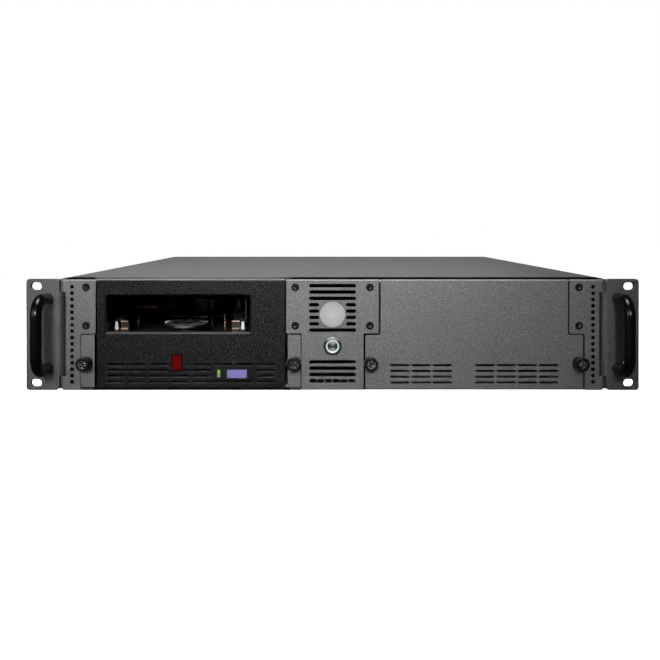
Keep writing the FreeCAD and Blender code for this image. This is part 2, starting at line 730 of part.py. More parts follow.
bz = S["button_z"]
pb = body("power_button_body", 0, 0, bz)
s = Sk(pb, XY)
s.poly([(5.38, -1.5), (6.7, -1.5), (7.1, -1.1), (7.1, 0), (6.0, 0), (6.0, 16.0), (4.6, 16.0), (4.6, 20.0), (0, 20.0), (0, 11.0),
        (2.6, 11.0), (2.6, 3.2), (5.38, 3.2)])
revolve(pb, s)
case_fasteners.append(cut(hexa("y", 0, tray_y0, bz, 8.6, 3.0), cyl("y", 0, tray_y0 - 1, bz, 6.03, 6)))
ring = body("power_button_ring", 0, 0, bz)
s = Sk(ring, XY)
s.poly([(4.05, -1.0), (5.1, -1.25), (5.33, -1.1), (5.33, 3.1), (4.05, 3.1)])
revolve(ring, s)
cap = body("power_button_cap", 0, 0, bz)
s = Sk(cap, XY)
s.poly([(0, -0.9), (3.0, -1.2), (3.7, -1.25), (3.95, -1.0), (3.95, 1.4), (2.5, 1.4), (2.5, 8.0), (0, 8.0)])
revolve(cap, s)

# ==== rack ears and handles =================================================

ear = body("rack_ear_right")
E, et, eo, ei = S["ear_tab_x"], S["ear_t"], S["ear_half"], H + S["ear_t"]
z0, z1, b0, b1 = S["ear_low"], S["ear_top"], S["bend_low"], S["bend_top"]
s = Sk(ear, XY, b0)
s.poly([(H, S["leg_depth"]), (H, 0, S["bend_rad"]), (230, 0), (230, et), (ei, et, 1.5), (ei, S["leg_depth"])])
pad(ear, s, b1 - b0)
s = Sk(ear, XZ)
s.poly([(E + 2, z0), (eo, z0, 2.5), (eo, z1, 2.5), (E + 2, z1), (E, z1 - 2), (E, b1), (H + S["bend_rad"] + 0.5, b1),
        (H + S["bend_rad"] + 0.5, b0), (E, b0), (E, z0 + 2)])
pad(ear, s, et)
s = Sk(ear, YZ, H)
s.rect(8, z0, S["leg_depth"], z1, 1.5)
pad(ear, s, et)
s = Sk(ear, XZ, et)
s.rect(H + 0.5, z0 + 0.5, 217.6, b0 + 1.0).rect(H + 0.5, b1 - 1.0, 217.6, z1 - 0.5)   # gussets behind the open corners
pad(ear, s, 5.0)
s = Sk(ear, XZ)
px, sl, sw, rm = S["slot_pitch_x"] / 2, S["slot_len"] / 2, S["slot_wide"], S["rack_mid_z"]
for half in (S["outer_pitch_z"] / 2, S["inner_pitch_z"] / 2):
    s.slot(px - sl, px + sl, rm + half, sw).slot(px - sl, px + sl, rm - half, sw)
pocket(ear, s, et)
s = Sk(ear, XZ)
s.disc(S["grip_x"], S["grip_low"], 2.1).disc(S["grip_x"], S["grip_top"], 2.1)
pocket(ear, s, et)
ease(ear, "Chamfer", 1.9, ring_at(et, 2.1))
s = Sk(ear, YZ, H)
for zz in (20.0, 43.8, 66.0):
    s.disc(19.0, zz, 2.1)
pocket(ear, s, et)
ease(ear, "Chamfer", 1.9, lambda e: e.Curve.TypeId == "Part::GeomCircle" and abs(e.Curve.Radius - 2.1) < 1e-4 and
     abs(e.BoundBox.XMin - ei.v) < 1e-4)
node(mirror_x(ear), "rack_ear_left")

grip = body("handle_right")
gx, gr, go, gb = S["grip_x"], S["grip_rad"], S["grip_off"], S["grip_bend"]
path = Sk(grip, YZ, gx)
path.path([(0, S["grip_low"]), (-go, S["grip_low"], gb), (-go, S["grip_top"], gb), (0, S["grip_top"])])
ring_sk = Sk(grip, XZ)
ring_sk.disc(gx, S["grip_low"], gr)
f = grip.newObject("PartDesign::AdditivePipe", "Pipe")
f.Profile = ring_sk.done()
f.Spine = path.done()
s = Sk(grip, XZ)
s.disc(gx, S["grip_low"], 2.0).disc(gx, S["grip_top"], 2.0)
pocket(grip, s, 12, plus=False)
node(mirror_x(grip), "handle_left")

scr = []
for sx in (-1, 1):
    for kz in (S["grip_low"], S["grip_top"]):
        sc = fuse(cyl("y", gx * sx, -9.0, kz, 1.92, 11.2), cone("y", gx * sx, et - 1.95, kz, 1.92, 3.87, 1.95))
        scr.append(cut(sc, hexa("y", gx * sx, et - 1.4, kz, 1.45, 1.6)))
case_fasteners += scr

scr = []
for sx in (-1, 1):
    for kz in (20.0, 43.8, 66.0):
        a = ei * sx
        if sx > 0:
            sc = fuse(cyl("x", H - 3, 19.0, kz, 1.6, 5.2), cone("x", ei - 1.95, 19.0, kz, 1.92, 3.87, 1.95))
            sc = cut(sc, hexa("x", ei - 1.3, 19.0, kz, 1.3, 1.6))
        else:
            sc = fuse(cyl("x", -H - 2.2, 19.0, kz, 1.6, 5.2), cone("x", -ei, 19.0, kz, 3.87, 1.92, 1.95))
            sc = cut(sc, hexa("x", -ei - 0.3, 19.0, kz, 1.3, 1.6))
        scr.append(sc)
case_fasteners += scr

# ==== drive module ==========================================================

sled = body("drive_sled")
sl0, sr0, sb, stp = S["sled_left"], S["sled_right"], S["sled_z"], S["sled_top"]
s = Sk(sled, XZ, 11)
s.poly([(sl0, sb), (sr0, sb), (sr0, stp), (sr0 - st, stp), (sr0 - st, sb + st), (sl0 + st, sb + st), (sl0 + st, stp), (sl0, stp)])
pad(sled, s, S["sled_deep"] - 11)
s = Sk(sled, XZ)
s.rect(sl0, 2.3, sl0 + st, stp).rect(sr0 - st, 2.3, sr0, stp)
pad(sled, s, 11)
s = Sk(sled, XZ)
s.poly([(-198.2, 2.3, 1.6), (sl0 + st, 2.3), (sl0 + st, 43.7), (-198.2, 43.7, 1.6)])        # front flanges
s.poly([(sr0 - st, 2.3), (-25.1, 2.3, 1.2), (-25.1, 43.7, 1.2), (sr0 - st, 43.7)])
pad(sled, s, 1.5)
s = Sk(sled, XZ)
s.disc(-S["knob_out"], S["knob_z"], 3.3).disc(-S["knob_mid"], S["knob_z"], 3.3)
pocket(sled, s, 1.5)
s = Sk(sled, YZ, sl0 - 1)
s.disc(45, 14, 2.05).disc(170, 14, 2.05)
pocket(sled, s, 160)
s = Sk(sled, XY, sb)
s.rect(-150, 60, -75, 96, 3).rect(-150, 110, -75, 146, 3).rect(-150, 160, -75, 196, 3)
pocket(sled, s, st)

bz_l, bz_r, bz_b, bz_t, bd, bw = S["bez_left"], S["bez_right"], S["bez_low"], S["bez_top"], S["bez_deep"], S["bez_wall"]
wl, wr, wb, wt = S["win_left"], S["win_right"], S["win_low"], S["win_top"]
bezel = body("drive_bezel")
s = Sk(bezel, XZ)
s.rect(bz_l, bz_b, bz_r, bz_t, 1.2)
pad(bezel, s, bd)
ease(bezel, "Fillet", S["edge_rad"], face_edges())
s = Sk(bezel, XZ)
s.rect(wl, wb, wr, wt, 0.8)
pocket(bezel, s, bd)
ease(bezel, "Chamfer", 1.2, lambda e: abs(e.BoundBox.YMin) < 1e-5 and abs(e.BoundBox.YMax) < 1e-5 and
     e.BoundBox.XMin > wl.v - 0.1 and e.BoundBox.XMax < wr.v + 0.1 and e.BoundBox.ZMin > wb.v - 0.1 and e.BoundBox.ZMax < wt.v + 0.1)
s = Sk(bezel, XZ, bw)
# hollow behind the front wall, split so a wall stays all round the cartridge mouth
s.rect(bz_l + 1.8, bz_b + 1.8, bz_r - 1.8, wb - 1.8)
s.rect(wr + 1.8, wb - 0.6, bz_r - 1.8, bz_t - 1.8)
pocket(bezel, s, bd)
s = Sk(bezel, XZ, bw)
s.rect(bz_l + 1.8, wt + 1.8, wr + 0.6, bz_t - 1.8)
pocket(bezel, s, bd)
gx0, gp, gl, gw, gz, gs = S["grid_x"], S["grid_pitch"], S["grid_len"], S["grid_wide"], S["grid_z"], S["grid_rise"]
for col, row, nx, ny, dy in ((0, 0, 3, 4, gs), (3, 0, 1, 2, gs), (4, 0, 1, 4, gs), (5, 0, 2, 2, gs * 3), (7, 0, 1, 4, gs)):
    s = Sk(bezel, XZ)
    x0 = gx0 + gp * col
    s.slot(x0, x0 + gl, gz, gw)
    k = pocket(bezel, s, bw)
    grid(bezel, k, nx, gp, ny, dy)
s = Sk(bezel, XZ)
s.slot(-116.6, -112.6, gz + gs * 2, gw).slot(-116.6, -112.6, gz + gs * 3, gw)
pocket(bezel, s, bw)
ease(bezel, "Fillet", S["slot_rad"], face_edges(gx0 - 1, bz_r - 1.2, 4.5, 22.5))
s = Sk(bezel, XZ)
s.rect(-127.6, 14.6, -118.1, 28.5)                  # digit window
s.rect(-91.0, 10.2, -88.6, 15.9)                    # status light
s.rect(-83.15, 9.45, -67.25, 16.25, 0.6)            # eject button
pocket(bezel, s, bw)

node(box(-127.55, -118.15, 0.25, 1.7, 14.65, 28.45), "display_lens")
digit = cut(box(-128.4, -117.3, 2.45, 9.0, 13.6, 29.5), box(-127.0, -118.7, 2.4, 2.9, 15.2, 27.9))
node(digit, "display_module")
led = fuse(box(-90.95, -88.65, -0.15, 2.4, 10.25, 15.85), box(-91.9, -87.7, 2.45, 8.9, 9.4, 16.7), box(-90.9, -88.7, 2.3, 2.5, 10.3, 15.8))
node(led, "status_light")
eject = body("eject_button")
s = Sk(eject, XZ, -0.9)
s.rect(-82.85, 9.75, -67.55, 15.95, 0.5)
pad(eject, s, 4.6)
s = Sk(eject, XZ, 2.6)
s.rect(-84.6, 8.3, -65.8, 17.4)
pad(eject, s, 1.1)
ease(eject, "Fillet", 0.35, lambda e: abs(e.BoundBox.YMin + 0.9) < 1e-5 and abs(e.BoundBox.YMax + 0.9) < 1e-5)

dl, dr, dw, dk, dbk = S["drv_left"], S["drv_right"], S["drv_wall"], S["deck_z"], S["drv_back"]
y_b = bd + 0.1
base = body("drive_base")
s = Sk(base, XZ, y_b)
s.poly([(dl, 4.5), (dl + dw, 4.5), (dl + dw, dk - 3), (dr - dw, dk - 3), (dr - dw, 4.5), (dr, 4.5), (dr, 84.6), (dr - dw, 84.6),
        (dr - dw, dk), (dl + dw, dk), (dl + dw, 84.6), (dl, 84.6)])
pad(base, s, dbk - y_b)
s = Sk(base, XZ, dbk - dw)
s.rect(dl + 0.5, 4.5, dr - 0.5, 84.6)
pad(base, s, dw)
s = Sk(base, XZ, dbk - dw - 0.1)
s.rect(-150.2, 8.8, -105.8, 17.2).rect(-95.2, 8.8, -70.8, 19.2)      # connector openings
pocket(base, s, dw + 1)
s = Sk(base, XY, dk + 0.01)
s.disc(S["hub_x"], S["hub_y"], 8.0).disc(S["reel_x"], S["reel_y"], 8.0)
pocket(base, s, 4, plus=False)
s = Sk(base, YZ, dl - 1)
s.disc(45, 14, 2.05).disc(170, 14, 2.05)
pocket(base, s, 150)
s = Sk(base, XY, 34.0)
for xx, yy in ((-47.5, 22.0), (-176.0, 204.0), (-47.5, 204.0)):      # pillars under the drive's cover
    s.disc(xx, yy, 3.5)
pad(base, s, 50.6)

node(box(dl, dr, 9.3, dbk, 84.6, 85.8), "drive_top_cover")
dbp = body("drive_bottom_plate")
s = Sk(dbp, XY, 3.3)
s.rect(dl, y_b + 0.2, dr, dbk, 1.0)
pad(dbp, s, 1.2)
s = Sk(dbp, XY, 3.3)
s.slot(-160, -120, 60, 4)
k = pocket(dbp, s, 1.2)
grid(dbp, k, 2, 56, 6, 18)

pcb = [box(dl + dw + 0.5, dr - dw - 0.5, 16, 210, 12.0, 13.6)]
for x0, x1, yy0, yy1, hh in ((-160, -132, 60, 88, 2.2), (-120, -100, 70, 90, 1.6), (-90, -62, 110, 138, 2.4), (-150, -136, 120, 134, 1.2),
                             (-126, -106, 130, 142, 1.2), (-170, -156, 160, 180, 3.0), (-60, -48, 60, 84, 1.4)):
    pcb.append(box(x0, x1, yy0, yy1, 13.6, 13.6 + hh))
for xx, yy in ((-172, 40), (-164, 40), (-52, 30), (-52, 40)):
    pcb.append(cyl("z", xx, yy, 13.6, 3.0, 7.0))
drive_board = fuse(*pcb)

mots = []
for mx, my in ((S["hub_x"], S["hub_y"]), (S["reel_x"], S["reel_y"])):
    stator = fuse(cyl("z", mx, my, 22.0, 20.0, 11.95), cyl("z", mx, my, 33.9, 7.9, 3.3))
    mots.append(cut(stator, cyl("z", mx, my, 23.0, 2.55, 20)))
node(group(*mots), "reel_motors")

hub = body("supply_hub", S["hub_x"], S["hub_y"], 0)
hr, ht = S["hub_rad"], S["hub_top"]
s = Sk(hub, XZ)
# shallow bowl under a toothed rim, with a stem down to the motor
s.poly([(0, 24), (2.5, 24), (2.5, 37.8), (8.8, 37.8), (8.8, 42.6), (12.5, 42.8), (15.2, 43.5), (17.0, 44.7), (17.9, 46.0), (hr, ht - 1.2), (hr, ht - 0.4),
        (hr - 0.4, ht), (12.6, ht), (12.6, ht - 2.6), (6.0, ht - 2.6), (4.4, ht - 0.4), (0, ht - 0.4)])
rv = revolve(hub, s)
s = Sk(hub, XZ, -hr - 0.4)
s.poly([(-0.72, ht + 0.1), (-0.15, ht - 1.5), (0.15, ht - 1.5), (0.72, ht + 0.1)])
k = pocket(hub, s, hr + 0.4 - 12.5)
polar(hub, k, rv.Profile[0], 56)

reel = body("takeup_reel", S["reel_x"], S["reel_y"], 0)
rr = S["reel_rad"]
s = Sk(reel, XZ)
s.poly([(0, 24), (2.5, 24), (2.5, 37.8), (9.0, 37.8), (9.0, 44.6), (rr, 44.6), (rr, 46.0), (22.0, 46.4), (22.0, 59.6), (rr, 60.0), (rr, 61.4),
        (14.0, 61.4), (14.0, 58.0), (4.0, 58.0), (4.0, 62.0), (0, 62.0)])
rv = revolve(reel, s)
s = Sk(reel, XY, 61.5)
s.disc(31.0, 0, 5.0)
k = pocket(reel, s, 2.0, plus=False)
f = reel.newObject("PartDesign::PolarPattern", "Polar")
f.Originals = [k]
f.Axis = (rv.Profile[0], ["V_Axis"])
f.Angle = 360
f.Occurrences = 6
reel.Tip = f

pins, ROLL = [], ((-60.0, 90.0), (-62.0, 108.5), (-62.0, 152.0), (-67.0, 170.0))
for n, (xx, yy) in enumerate(ROLL, start=1):
    r_ = body("guide_roller_%d" % n, xx, yy, 0)
    s = Sk(r_, XZ)
    s.poly([(1.6, 44.6), (7.0, 44.6), (7.0, 45.8), (5.6, 46.2), (5.6, 59.8), (7.0, 60.2), (7.0, 61.4), (1.6, 61.4)])
    revolve(r_, s)
    pins.append(cut(fuse(cyl("z", xx, yy, dk, 1.52, 26.2), cyl("z", xx, yy, dk, 4.0, 7.3), cyl("z", xx, yy, 61.7, 2.6, 1.8)),
                    hexa("z", xx, yy, 62.7, 0.8, 2.0)))

hx = -44.8
hbase = [box(-50.0, -41.3, 115, 145, dk, 41.5), box(-50.0, -41.3, 115, 145, 68.5, 71.0),
         cyl("z", hx, 118.5, 41.0, 1.5, 28.0), cyl("z", hx, 141.5, 41.0, 1.5, 28.0)]
node(fuse(*hbase), "head_guide_frame")
hblock = cut(fuse(box(-52.0, -41.6, 116.0, 144.0, 46.5, 63.5), box(-55.5, -51.0, 124.0, 136.0, 46.5, 63.5),
                  cyl("z", -55.0, 127.0, 46.5, 2.4, 17.0), cyl("z", -55.0, 133.0, 46.5, 2.4, 17.0)),
             cyl("z", hx, 118.5, 40.0, 1.56, 30.0), cyl("z", hx, 141.5, 40.0, 1.56, 30.0))
node(hblock, "head_block")

car = body("loader_carriage")
s = Sk(car, XZ, 14)
s.poly([(-179.8, 51.8), (-172.5, 51.8), (-172.5, 52.8), (-178.8, 52.8), (-178.8, 75.4), (-70.2, 75.4), (-70.2, 52.8), (-76.5, 52.8),
        (-76.5, 51.8), (-69.2, 51.8), (-69.2, 76.4), (-179.8, 76.4)])
pad(car, s, 90)
s = Sk(car, XY, 51.7)
s.rect(-178.8, 13, -172.0, 34).rect(-77.0, 13, -70.2, 34)      # ledges start behind the alignment posts
pocket(car, s, 1.2)
s = Sk(car, XY, 76.5)
s.rect(-148, 26, -101, 92, 4)
pocket(car, s, 1.3, plus=False)
s = Sk(car, YZ, -180)
s.slot(26, 50, 65, 5).slot(64, 88, 65, 5)
pocket(car, s, 112)

# two stepped posts behind the cartridge space, and a tall threading pin
for xx in (-177.0, -97.7):
    pins.append(fuse(cyl("z", xx, 107.5, dk, 2.3, 2.2), cyl("z", xx, 107.5, dk, 1.2, 12.6), cyl("z", xx, 107.5, 40.6, 1.7, 3.4)))
posts, brk = [], []
for xx, sgn in ((-176.0, 1), (-73.0, -1)):
    posts.append(fuse(cyl("z", xx, 24, dk, 2.5, 6.0), cyl("z", xx, 24, dk, 1.6, 8.5), cone("z", xx, 24, 45.5, 1.6, 1.0, 5.9)))
    x0, x1 = (xx + 3.0, xx + 9.2) if sgn > 0 else (xx - 9.2, xx - 3.0)
    brk.append(fuse(box(x0, x1, 27.0, 28.0, dk, 52.0), box(x0, x1, 23.4, 28.0, 51.2, 52.0), box(x0, x1, 23.4, 28.0, 45.2, 46.0)))
brk.append(fuse(cyl("z", -110.0, 112.0, 49.5, 1.3, 12.1), cyl("z", -110.0, 112.0, 60.2, 1.9, 1.4)))
node(group(*posts), "alignment_posts")
node(group(*brk), "post_brackets")
lm = fuse(cyl("z", -131.0, 110.2, dk, 3.6, 27.0), cyl("z", -131.0, 110.2, 64.0, 0.9, 3.0), cyl("z", -131.0, 110.2, dk, 4.4, 4.0))
pin_foot = fuse(cyl("z", -110.0, 112.0, dk, 2.6, 12.45), cyl("z", -110.0, 112.0, dk, 4.0, 2.0))
clamps = [box(-182.0, -176.4, 109.9, 110.95, dk, 53.6), box(-89.6, -81.0, 107.4, 109.35, dk, 53.8)]
node(group(lm, pin_foot, *clamps), "loader_motor")
flex = [fuse(box(-181.6, -177.0, 111.0, 111.3, dk, 56.0), box(-181.6, -160.0, 111.0, 111.3, 54.0, 56.0)),
        fuse(box(-86.8, -83.8, 109.4, 109.7, dk, 61.6), box(-86.8, -83.8, 109.4, 117.0, 61.3, 61.6))]
node(group(*flex), "flex_cable")

conn = []
for x0, x1, zt in ((-150.0, -106.0, 17.0), (-95.0, -71.0, 19.0)):
    shell = cut(box(x0, x1, 211.0, 220.0, 9.0, zt), box(q(x0) + 1.2, q(x1) - 1.2, 213.0, 221.0, 10.2, q(zt) - 1.2))
    tongue = box(q(x0) + 4, q(x1) - 4, 212.0, 219.0, 12.2, 13.4)
    conn.append(fuse(shell, tongue))
node(group(drive_board, *conn), "drive_circuit_board")

scr = []
for yy in (45.0, 170.0):
    a = fuse(cyl("x", sl0 + st + 0.02, yy, 14, 3.6, dl - sl0 - st - 0.04), cyl("x", sl0, yy, 14, 1.97, dl - sl0 + 2.8))
    scr.append(cut(a, hexa("x", sl0 - 0.5, yy, 14, 1.1, 1.9)))
    c = fuse(cyl("x", dr + 0.02, yy, 14, 3.6, sr0 - st - dr - 0.04), cyl("x", dr - 2.8, yy, 14, 1.97, sr0 - dr + 2.8))
    scr.append(cut(c, hexa("x", sr0 - 1.4, yy, 14, 1.1, 1.9)))
node(group(*(pins + scr)), "deck_posts_and_screws")

# ==== rear equipment ========================================================

ry1 = S["depth_all"]
ps = body("power_supply")
s = Sk(ps, XZ, 320)
s.rect(95, st, 196, 41, 1.0)
pad(ps, s, 105)
s = Sk(ps, XY, 41.01)
s.slot(104, 144, 336, 2.4)
k = pocket(ps, s, 2.0, plus=False)
grid(ps, k, 2, 46, 10, 6.5)
s = Sk(ps, XZ, 425)
s.slot(104, 186, 9, 3)
k = pocket(ps, s, 2.0, plus=False)
grid(ps, k, 1, 10, 5, 6)

iec = body("power_inlet")
s = Sk(iec, XZ, ry1)
s.rect(154.0, 10.0, 186.0, 34.0, 2.0)
pad(iec, s, 2.4)
s = Sk(iec, XZ, ry1 - 20)
s.rect(156.6, 12.4, 183.4, 31.6)
pad(iec, s, 20)
s = Sk(iec, XZ, ry1 + 2.4)
s.poly([(158, 13.9), (182, 13.9), (182, 26.2), (178.2, 30.0), (161.8, 30.0), (158, 26.2)])
pocket(iec, s, 17, plus=False)
s = Sk(iec, XZ, ry1 - 15)
s.rect(169, 23.3, 171, 27.3).rect(162, 17.6, 164, 21.6).rect(176, 17.6, 178, 21.6)
pad(iec, s, 14)

rk = body("rocker_housing")
s = Sk(rk, XZ, ry1)
s.rect(118.8, 11.0, 135.2, 33.0, 1.0)
pad(rk, s, 1.6)
s = Sk(rk, XZ, ry1 - 14)
s.rect(120.7, 12.9, 133.3, 31.1)
pad(rk, s, 14)
s = Sk(rk, XZ, ry1 + 1.6)
s.rect(122.2, 14.2, 131.8, 29.8)
pocket(rk, s, 13, plus=False)
s = Sk(rk, YZ, 120)
s.disc(ry1 - 3.5, 22, 1.07)
pocket(rk, s, 14)
pd = body("rocker_paddle", 0, ry1 - 3.5, 22)
s = Sk(pd, YZ, 122.5)
tilt = math.radians(8.0)
prof = [(5.6, -6.4), (4.3, 0.0), (5.6, 6.4), (2.6, 6.4), (-2.4, 2.2), (-2.4, -2.2), (2.6, -6.4)]
s.poly([(u * math.cos(tilt) - v * math.sin(tilt), u * math.sin(tilt) + v * math.cos(tilt)) for u, v in prof])
pad(pd, s, 9.0)
s = Sk(pd, YZ, 121.2)
s.disc(0, 0, 1.0)
pad(pd, s, 11.6)

pcb2 = [box(-196, -112, 392, 466.5, 12.4, 14.0)]
for x0, x1, yy0, yy1, hh in ((-186, -164, 410, 432, 2.0), (-150, -138, 412, 424, 1.4), (-130, -118, 400, 440, 8.0)):
    pcb2.append(box(x0, x1, yy0, yy1, 14.0, 14.0 + hh))
for i in range(6):
    pcb2.append(box(-185.0 + 3.6 * i, -183.4 + 3.6 * i, 411, 431, 15.9, 24.0))
for xx, yy in ((-192, 396), (-116, 396), (-192, 446), (-116, 446)):
    pcb2.append(cyl("z", xx, yy, st, 2.5, 11.3))
rear_board = fuse(*pcb2)

ports = []
for x0 in (-187.9, -157.9):
    shell = cut(box(x0, x0 + 21.8, 452.0, ry1 + 0.6, 14.3, 23.1), box(x0 + 1.0, x0 + 20.8, 458.0, ry1 + 1.6, 15.3, 22.1))
    ports.append(fuse(shell, box(x0 + 3.0, x0 + 18.8, 456.0, ry1 - 1.5, 18.2, 19.4)))
node(group(rear_board, *ports), "interface_board")

fz, fd, fx, fb, fh2 = S["fan_z"], S["fan_deep"], S["fan_x"], S["fan_bore"], S["fan_half"]
y0 = ry - fd - 0.05
fan = cut(box(fx - fh2, fx + fh2, y0, y0 + fd, fz - fh2, fz + fh2), cyl("y", fx, y0 - 1, fz, fb, fd + 2))
strut = [cyl("y", fx, y0 + fd - 4.4, fz, 16.0, 4.4), box(fx - fb - 0.6, fx + fb + 0.6, y0 + fd - 3.0, y0 + fd, fz - 1.5, fz + 1.5),
         box(fx - 1.5, fx + 1.5, y0 + fd - 3.0, y0 + fd, fz - fb - 0.6, fz + fb + 0.6)]
holes = [cyl("y", fx, y0 + 8, fz, 1.56, 15.5)]
holes += [cyl("y", fx + dx, y0 - 1, fz + dz, 1.9, fd + 2) for dx in (-fh, fh) for dz in (-fh, fh)]
node(cut(fuse(fan, fuse(*strut)), *holes), "fan_frame")
rot = body("fan_rotor", fx, y0, fz)
s = Sk(rot, XY)
s.poly([(0, 1.5), (14.4, 1.5), (15.6, 2.7), (15.6, 18.6), (14.0, 18.6), (14.0, 3.4), (1.5, 3.4), (1.5, 23.0), (0, 23.0)])
rv = revolve(rot, s)
s = Sk(rot, XY, 14.8)
s.poly([(-8.2, 4.0), (-6.9, 3.3), (8.2, 16.6), (6.9, 17.3)])
k = pad(rot, s, 21.0)
polar(rot, k, rv.Profile[0], 7)
gy = ry1 + 1.3
wires = [torus("y", fx, gy, fz, rr_, 0.8) for rr_ in (37.0, 29.5, 22.0, 14.5, 7.0)]
wires += [cyl("x", fx - 37.5, gy + 0.9, fz, 0.8, 75.0), cyl("z", fx, gy + 0.9, fz - 37.5, 0.8, 75.0)]
for dx in (-1, 1):
    for dz in (-1, 1):
        ex, ez = fx + fh * dx, fz + fh * dz
        eye = cut(cyl("y", ex, ry1, ez, 3.4, 1.2), cyl("y", ex, ry1 - 1, ez, 1.9, 4))
        xa, xb = (ex - 12.0, ex - 3.2) if dx > 0 else (ex + 3.2, ex + 12.0)
        wires += [eye, box(xa, xb, gy - 0.75, gy + 0.45, ez - 0.8 if dz > 0 else ez - 0.6, ez + 0.6 if dz > 0 else ez + 0.8)]
node(fuse(*wires), "fan_guard")
scr = []
for dx in (-fh, fh):
    for dz in (-fh, fh):
        scr.append(cut(fuse(cone("y", fx + dx, ry1 + 1.25, fz + dz, 3.0, 2.2, 1.5), cyl("y", fx + dx, ry1 - 8.0, fz + dz, 1.6, 9.5)),
                       hexa("y", fx + dx, ry1 + 1.9, fz + dz, 1.2, 1.2)))
case_fasteners += scr
node(group(*case_fasteners), "case_fasteners")

# ==== check and write =======================================================

doc.recompute()
bad = [o.Name + " (" + o.Label + ")" for o in doc.Objects if "Invalid" in o.State or "Error" in o.State]
if bad:
    raise RuntimeError("failed objects: " + ", ".join(bad))
for name, obj in NODES.items():
    if obj.Shape.isNull() or not obj.Shape.isValid() or not obj.Shape.Solids:
        raise RuntimeError("bad shape: " + name)
os.makedirs("parts", exist_ok=True)
allbox = FreeCAD.BoundBox()
for name, obj in sorted(NODES.items()):
    obj.Shape.exportStep("parts/%s.step" % name)
    bb = obj.Shape.optimalBoundingBox() if hasattr(obj.Shape, "optimalBoundingBox") else obj.Shape.BoundBox
    allbox.add(bb)
    print("%-22s solids %2d  volume %10.1f  x %.2f..%.2f  y %.2f..%.2f  z %.2f..%.2f" % (
        name, len(obj.Shape.Solids), obj.Shape.Volume, bb.XMin, bb.XMax, bb.YMin, bb.YMax, bb.ZMin, bb.ZMax))
print(len(NODES), "nodes;", "whole", allbox)
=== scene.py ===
import bpy
import math
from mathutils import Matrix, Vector


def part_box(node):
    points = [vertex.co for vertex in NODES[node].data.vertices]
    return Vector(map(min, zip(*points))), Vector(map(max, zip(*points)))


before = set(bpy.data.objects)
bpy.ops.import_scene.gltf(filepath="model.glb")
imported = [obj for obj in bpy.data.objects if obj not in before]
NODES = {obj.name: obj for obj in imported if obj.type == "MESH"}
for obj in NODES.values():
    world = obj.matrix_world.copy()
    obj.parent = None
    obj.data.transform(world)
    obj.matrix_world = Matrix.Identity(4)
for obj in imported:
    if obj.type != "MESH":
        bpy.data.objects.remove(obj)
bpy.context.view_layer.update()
MM = 0.001
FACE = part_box("centre_panel")[0].y      # plane of the front panels
scene = bpy.context.scene
scene.view_settings.view_transform = "Standard"
scene.view_settings.look = "None"

# ---------------------------------------------------------------- camera
cam_data = bpy.data.cameras.new("view_camera")
cam = bpy.data.objects.new("view_camera", cam_data)
scene.collection.objects.link(cam)
scene.camera = cam
cam.location = (-0.0058, FACE - 0.657, 0.1283)
cam.rotation_euler = (math.radians(90.0), 0.0, 0.0)
cam_data.sensor_width = 36.0
cam_data.lens = 45.49
cam_data.shift_x = 0.00727
cam_data.shift_y = -0.1555
cam_data.clip_start = 0.01
cam_data.clip_end = 50.0


